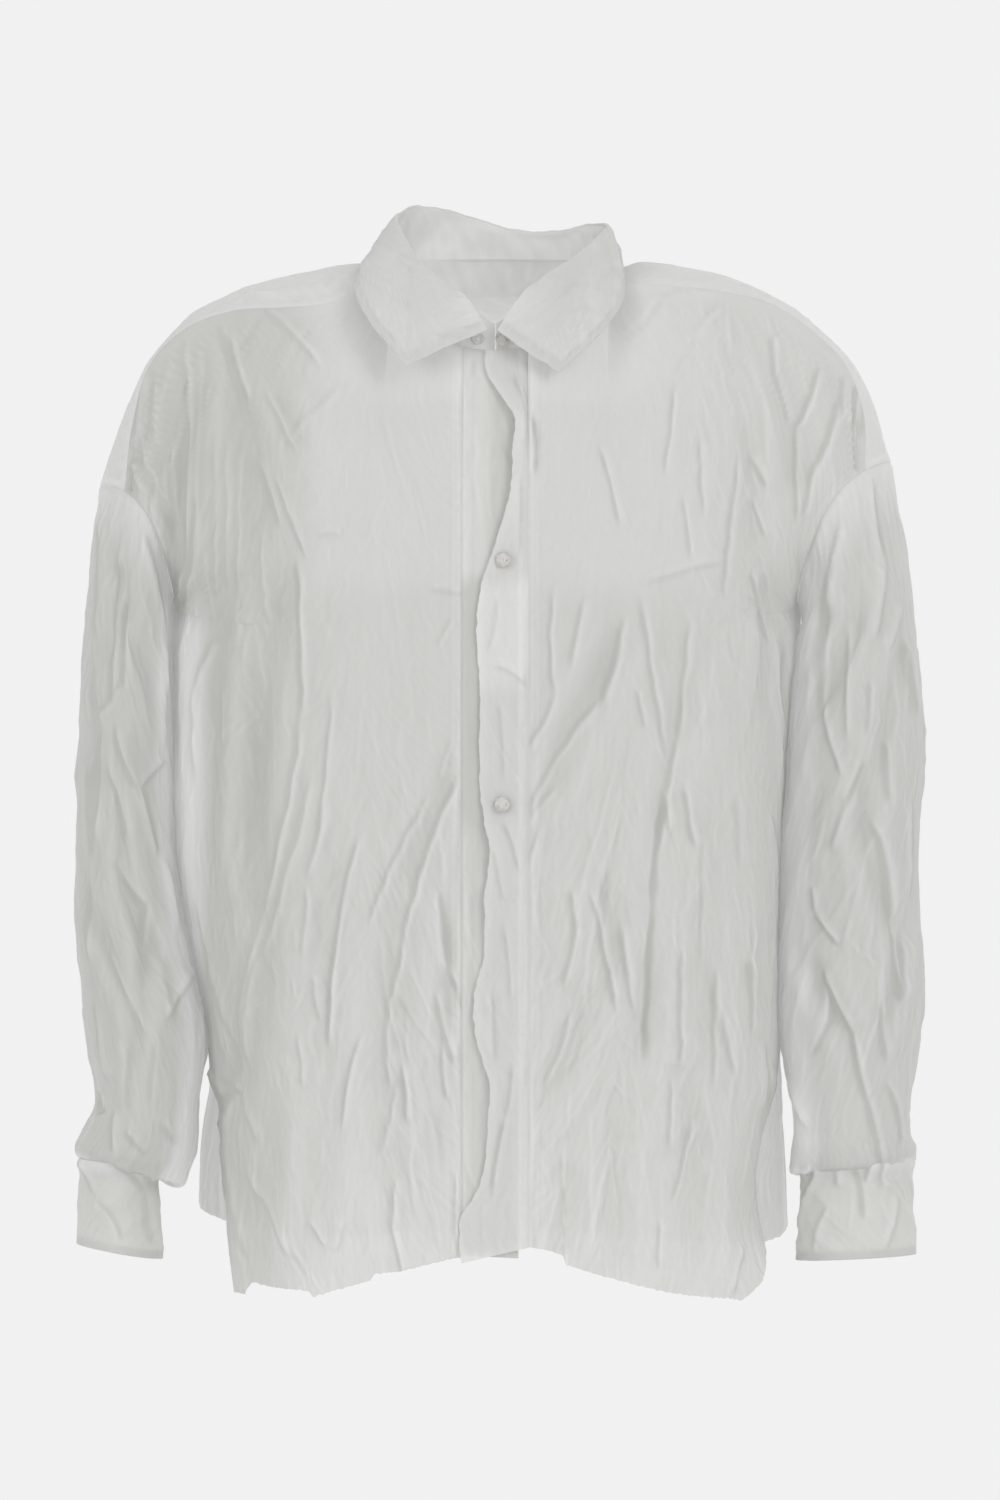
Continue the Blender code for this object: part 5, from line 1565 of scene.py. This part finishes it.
def cuff_cloth(side, material):
    """One cuff of doubled cloth, turned in at its lower edge."""
    angles = np.linspace(0, 360, 241)
    rings = CUFF_RINGS[side]
    knots = ring_levels(rings)
    levels = np.linspace(0, knots[-1], 61)
    grid = tube_form(rings, knots, angles, levels)
    u, v = cut_lengths(grid)
    placed, shade = tube_creases(grid, angles, side, CUFF_CREASES)
    own = crinkle(0.8 * v + 0.6 * u, 0.8 * u - 0.6 * v, 600 + 50 * side, 0.9)
    below = v[-1:] - v
    meet = ease((u - u[:, -1:] + 14) / 14)
    own = own * (1 - meet) + own[:, :1] * meet
    height = (1.4 * placed + own) * ease(v / 6) * (0.35 + 0.65 * ease(below / 8))
    height += seam_gathers(u, v, 90 + side, size=0.4)
    height += (2.5 + 4.0 * np.abs(np.sin(np.radians(angles)))) * ease((13 - v) / 13)
    height[:, -1] = height[:, 0]
    seam = np.clip(ease((7 - v) / 1.5) + ease((7 - below) / 1.5), 0, 1)
    # Painted light: the cuff's top is lightened against the shadow under the sleeve's overhanging end.
    tone = show_tone(height, 0.45 * ease((16 - v) / 14) - 0.12 + 1.2 * shade, 0.5 * seam)
    sign = 1 if side == RIGHT else -1
    grid = raised_ring(grid, height, sign)
    name = ("cuff_right", "cuff_left")[side]
    grid, u, v, tone = turned_in(grid, u, v, tone, sign, True, back=5.0)
    thing = cloth(f"voile_{name}", grid, (u, v), tone, closed=True, flip=sign < 0)
    return dress(thing, name, material)


def turned_in(grid, u, v, tone, sign, closed, thick=1.0, back=14.0):
    """A grid with its last row turned over to the inside."""
    if closed:
        normal = normals(grid[:, :-1], True)
        normal = np.concatenate([normal, normal[:, :1]], 1)[-1]
    else:
        normal = normals(grid, False)[-1]
    inward = -sign * normal
    up = grid[-6] - grid[-1]
    up /= np.linalg.norm(up, axis=1, keepdims=True)
    edge = grid[-1]
    more = [
        edge - 0.35 * thick * up + 0.25 * thick * inward,
        edge - 0.35 * thick * up + 0.75 * thick * inward,
        edge + thick * inward + 0.3 * up,
        edge + thick * inward + back * 0.4 * up,
        edge + thick * inward + back * up]
    grid = np.concatenate([grid, np.stack(more)])
    steps = np.array([0.5, 1.0, 1.6, 6.0, 14.0])
    u = np.concatenate([u, np.repeat(u[-1:], 5, 0)])
    v = np.concatenate([v, v[-1:] + steps[:, None]])
    tone = np.concatenate([tone, np.repeat(tone[-1:], 5, 0)])
    return grid, u, v, tone


# How far the stand's cloth laps down inside the yoke at the back
STAND_LAP = 24


def stand_cloth(material):
    """The collar's upright band."""
    angles = np.linspace(-0.4, -359.6, 261)
    foot = neckline(angles)
    roll = collar_top(angles)
    middle = np.array([NECKLINE["middle_x"][0], NECK_MIDDLE_Y, 0])
    way = (middle - foot) * (1, 1, 0)
    foot += 0.9 * way / np.linalg.norm(way, axis=1, keepdims=True)
    at_back = ease((80 - np.abs(angles + 180)) / 50)
    foot[:, 1] += 4 * at_back
    foot[:, 2] -= 1.6 + STAND_LAP * at_back
    t = np.linspace(0, 1, 33)[:, None, None]
    grid = roll * (1 - t) + foot * t
    u, v = cut_lengths(grid)
    below = v[-1:] - v
    folds = 1.5 * noise((u + 0.9 * v) / 26, (v - 0.3 * u) / 60, 93)
    folds += 0.6 * noise((u - 0.7 * v) / 12, v / 40, 94)
    height = (crinkle(u, v, 700, 0.35) + folds) * ease(v / 5) * ease(below / 6)
    # Painted light: the stand is lightened, more at the back and most low down inside the neck, against the
    # shade inside the collar.
    behind = (0.42 + 0.28 * ease((v - 16) / 10)) * at_back
    tone = show_tone(height, 0.32 + behind, np.zeros_like(u))
    grid = raised(grid, height, sign=-1)
    thing = cloth("voile_collar_stand", grid, (u, v), tone, flip=True)
    return dress(thing, "collar_stand", material)


def leaf_cloth(material):
    """The collar's turned-down leaf."""
    angles = np.linspace(-340, -20, 281)
    grid = leaf_form(angles, np.linspace(0, 1, 51) ** 1.1)
    grid = grid + normals(grid, False) * (WALL / MM * ease(np.linspace(0, 8, len(grid))))[:, None, None]
    u, v = cut_lengths(grid)
    ends = np.minimum(u, u[:, -1:] - u)
    below = v[-1:] - v
    own = crinkle(v, u, 800, 0.6)
    height = own * (0.25 + 0.75 * ease(below / 10)) * ease(v / 8)
    height += 0.25 * ease((6.5 - below) / 1.2) - 0.3 * np.exp(-((below - 7) / 1.0) ** 2)
    height += 0.25 * noise(u / 3.1, below / 9, 801) * np.exp(-((below - 8) / 4.0) ** 2)
    seam = np.clip(ease((7 - below) / 1.5) + ease((7 - ends) / 1.5), 0, 1)
    tone = show_tone(height, 0.08, seam)
    grid = raised(grid, height)
    grid, u, v, tone = turned_in(grid, u, v, tone, 1, False, thick=0.9, back=9.0)
    thing = cloth("voile_collar_leaf", grid, (u, v), tone)
    return dress(thing, "collar_leaf", material)


def band_cloths(material):
    """The placket's two bands."""
    levels = np.linspace(0, 1, 420)
    z = -60 - 592 * levels
    free = spline(-OVER_BAND_EDGE["z"], OVER_BAND_EDGE["x"])(-z)
    free = free + 0.7 * noise(z / 5.0, z * 0, 31) + 0.8 * noise(z / 14.0, z * 0, 32)
    lift = spline(-OVER_BAND_EDGE["z"], OVER_BAND_EDGE["lift"])(-z)
    seam_x = BAND_SEAM_X[LEFT]
    shares = np.linspace(0, 1, 41)
    grid = band_form(free, seam_x, levels, shares, OVER_BAND_HEM, lift, 0)
    u, v = cut_lengths(grid)
    inner = u[:, -1:] - u
    placed, shade = creases(grid[:, :, 0], grid[:, :, 2], in_view(BAND_CREASES))
    own = crinkle(u, v, 900, 0.7)
    height = (1.1 * placed + own) * ease(inner / 5) * (0.4 + 0.6 * ease(u / 5)) * ease(v / 8)
    height += seam_gathers(v, inner, 94, size=0.9, wave=6.5, reach=9)
    height += 1.0 * noise(v / 26, u / 60, 95) * ease((14 - u) / 14)
    seam = np.clip(ease((6 - u) / 1.5) + ease((6 - inner) / 1.5), 0, 1)
    pale = 0.35 * ease((-205 - z) / 15) * ease((290 + z) / 20)
    tone = show_tone(height, 0.2 + pale[:, None] + shade - 0.3 * ease((6 - inner) / 4), seam)
    grid = raised(grid, height)
    over = cloth("voile_placket_over", grid, (u, v), tone)
    dress(over, "placket_over", material)
    levels = np.linspace(0, 1, 260)
    free = np.full(len(levels), UNDER_BAND_REACH)
    grid = band_form(free, BAND_SEAM_X[RIGHT] - 1.0, levels, np.linspace(0, 1, 31), UNDER_BAND_HEM,
                     np.full(len(levels), -UNDER_BAND_DEPTH), 0)
    u, v = cut_lengths(grid)
    inner = u[:, -1:] - u
    height = crinkle(u, v, 950, 0.6) * ease(inner / 5) * ease(v / 8)
    height += seam_gathers(v, inner, 96, size=0.8, wave=6.5, reach=9)
    x, z = grid[:, :, 0], grid[:, :, 2]
    # Painted shade: the under band is darkened where the over band lies over it, and all across below the
    # chest, most between 220 and 385 mm down.
    low = ease((-200 - z) / 20) * (0.4 + 0.6 * ease((385 + z) / 30))
    smooth = 0.05 - 0.45 * ease((x + 12) / 14) * (1 - low) - 0.75 * low
    tone = show_tone(height, smooth, ease((6 - inner) / 1.5))
    grid = raised(grid, height, sign=-1)
    under = cloth("voile_placket_under", grid, (u, v), tone, flip=True)
    dress(under, "placket_under", material)


def knot(number, x, z, seat_y, share, material):
    """A button: a small round knot of wound cloth cord."""
    radius = BUTTON_RADIUS * share
    points, faces = [], []
    turns = ((0, 0), (62, 10), (-58, 35), (20, 80), (-25, 100))
    for lean, spin in turns:
        tilt = Matrix.Rotation(np.radians(lean), 3, "X") @ Matrix.Rotation(np.radians(spin), 3, "Z")
        first = len(points)
        for i in range(28):
            a = 2 * np.pi * i / 28
            centre = Vector((np.cos(a), 0, np.sin(a))) * radius * 0.60
            out = centre.normalized()
            for j in range(10):
                b = 2 * np.pi * j / 10
                p = centre + (out * np.cos(b) + Vector((0, np.sin(b), 0))) * radius * 0.36
                p = tilt @ p
                points.append((x + p.x, seat_y - 0.4 - radius * 0.42 + 0.5 * p.y, z + p.z))
        for i in range(28):
            for j in range(10):
                a = first + i * 10 + j
                b = first + i * 10 + (j + 1) % 10
                c = first + ((i + 1) % 28) * 10 + (j + 1) % 10
                d = first + ((i + 1) % 28) * 10 + j
                faces.append((a, b, c, d))
    mesh = bpy.data.meshes.new(f"knot_{number}")
    mesh.from_pydata([tuple(v * MM for v in p) for p in points], [], faces)
    mesh.shade_smooth()
    thing = bpy.data.objects.new(f"knot_{number}", mesh)
    bpy.context.scene.collection.objects.link(thing)
    thing.data.materials.append(material)
    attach(thing, "root")
    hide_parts(f"button_{number}")
    return thing


def cord_cloth():
    """The buttons' twisted cloth."""
    material = bpy.data.materials.new("knotted_cloth")
    material.use_nodes = True
    nodes, links = material.node_tree.nodes, material.node_tree.links
    shader = nodes["Principled BSDF"]
    shader.inputs["Roughness"].default_value = 0.85
    place = nodes.new("ShaderNodeTexCoord")
    texture = nodes.new("ShaderNodeTexNoise")
    texture.inputs["Scale"].default_value = 620
    texture.inputs["Detail"].default_value = 3
    links.new(place.outputs["Object"], texture.inputs["Vector"])
    colour = nodes.new("ShaderNodeMix")
    colour.data_type = "RGBA"
    colour.inputs["A"].default_value = (0.30, 0.285, 0.26, 1)
    colour.inputs["B"].default_value = (0.66, 0.66, 0.64, 1)
    links.new(texture.outputs["Fac"], colour.inputs["Factor"])
    links.new(colour.outputs["Result"], shader.inputs["Base Color"])
    bump = nodes.new("ShaderNodeBump")
    bump.inputs["Strength"].default_value = 0.6
    bump.inputs["Distance"].default_value = 0.0004
    links.new(texture.outputs["Fac"], bump.inputs["Height"])
    links.new(bump.outputs[0], shader.inputs["Normal"])
    return material


def soft_light(name, place, aim, size, power, colour=(1, 1, 1)):
    """A large soft lamp that faces a point."""
    lamp = bpy.data.lights.new(name, "AREA")
    lamp.shape = "RECTANGLE"
    lamp.size, lamp.size_y = size
    lamp.energy = power
    lamp.color = colour
    thing = bpy.data.objects.new(name, lamp)
    bpy.context.scene.collection.objects.link(thing)
    thing.location = place
    way = Vector(aim) - Vector(place)
    thing.rotation_euler = way.to_track_quat("-Z", "Y").to_euler()


FLOOR_RADIUS = 7.0


def studio():
    """Plain pale floor and room, soft lights and the camera at the photograph's place."""
    scene = bpy.context.scene
    world = bpy.data.worlds.new("room")
    world.use_nodes = True
    ground = world.node_tree.nodes["Background"]
    ground.inputs["Color"].default_value = (0.880, 0.881, 0.880, 1)
    ground.inputs["Strength"].default_value = 1.0
    scene.world = world
    mesh = bpy.data.meshes.new("floor")
    turns = np.radians(np.arange(96) * 3.75)
    rim = [(FLOOR_RADIUS * np.cos(a), FLOOR_RADIUS * np.sin(a), 0) for a in turns]
    mesh.from_pydata(rim, [], [tuple(range(96))])
    floor = bpy.data.objects.new("floor", mesh)
    scene.collection.objects.link(floor)
    floor.location.z = -1.25
    paint = bpy.data.materials.new("pale_floor")
    paint.use_nodes = True
    shader = paint.node_tree.nodes["Principled BSDF"]
    shader.inputs["Base Color"].default_value = (0.93, 0.93, 0.93, 1)
    shader.inputs["Roughness"].default_value = 1.0
    shader.inputs["Specular IOR Level"].default_value = 0.0
    mesh.materials.append(paint)
    soft_light("key", (2.6, -3.2, 1.4), (0, 0, -0.35), (1.6, 2.2), 55)
    soft_light("fill", (-3.1, -2.4, 0.9), (0, 0, -0.35), (1.6, 2.2), 38)
    soft_light("back", (1.5, 3.2, 1.6), (0, 0, -0.35), (1.6, 2.0), 30)
    camera = bpy.data.cameras.new("camera")
    camera.sensor_fit = "VERTICAL"
    camera.sensor_height = 36
    camera.sensor_width = 24
    distance = 9.0
    camera.lens = 36 * distance / (VIEW_SIZE[1] * VIEW_STEP * MM)
    thing = bpy.data.objects.new("camera", camera)
    scene.collection.objects.link(thing)
    middle_x = (VIEW_SIZE[0] / 2 - VIEW_ORIGIN[0]) * VIEW_STEP * MM
    middle_z = (VIEW_ORIGIN[1] - VIEW_SIZE[1] / 2) * VIEW_STEP * MM
    thing.location = (middle_x, -distance, middle_z)
    thing.rotation_euler = (np.pi / 2, 0, 0)
    camera.clip_end = 100
    scene.camera = thing
    scene.view_settings.view_transform = "Standard"


single = voile("voile")
double = voile("doubled_voile", light=(0.725, 0.726, 0.716), dark=(0.545, 0.544, 0.520),
               through=0.34, sheer=0.02)
for side in (RIGHT, LEFT):
    front_cloth(side, single)
    sleeve_cloth(side, single)
    cuff_cloth(side, double)
back_cloth(single)
yoke_cloth(single)
stand_cloth(double)
leaf_cloth(double)
band_cloths(double)
cord = cord_cloth()
for number, row in enumerate(zip(*BUTTONS.values()), start=1):
    knot(number, *row, cord)
studio()
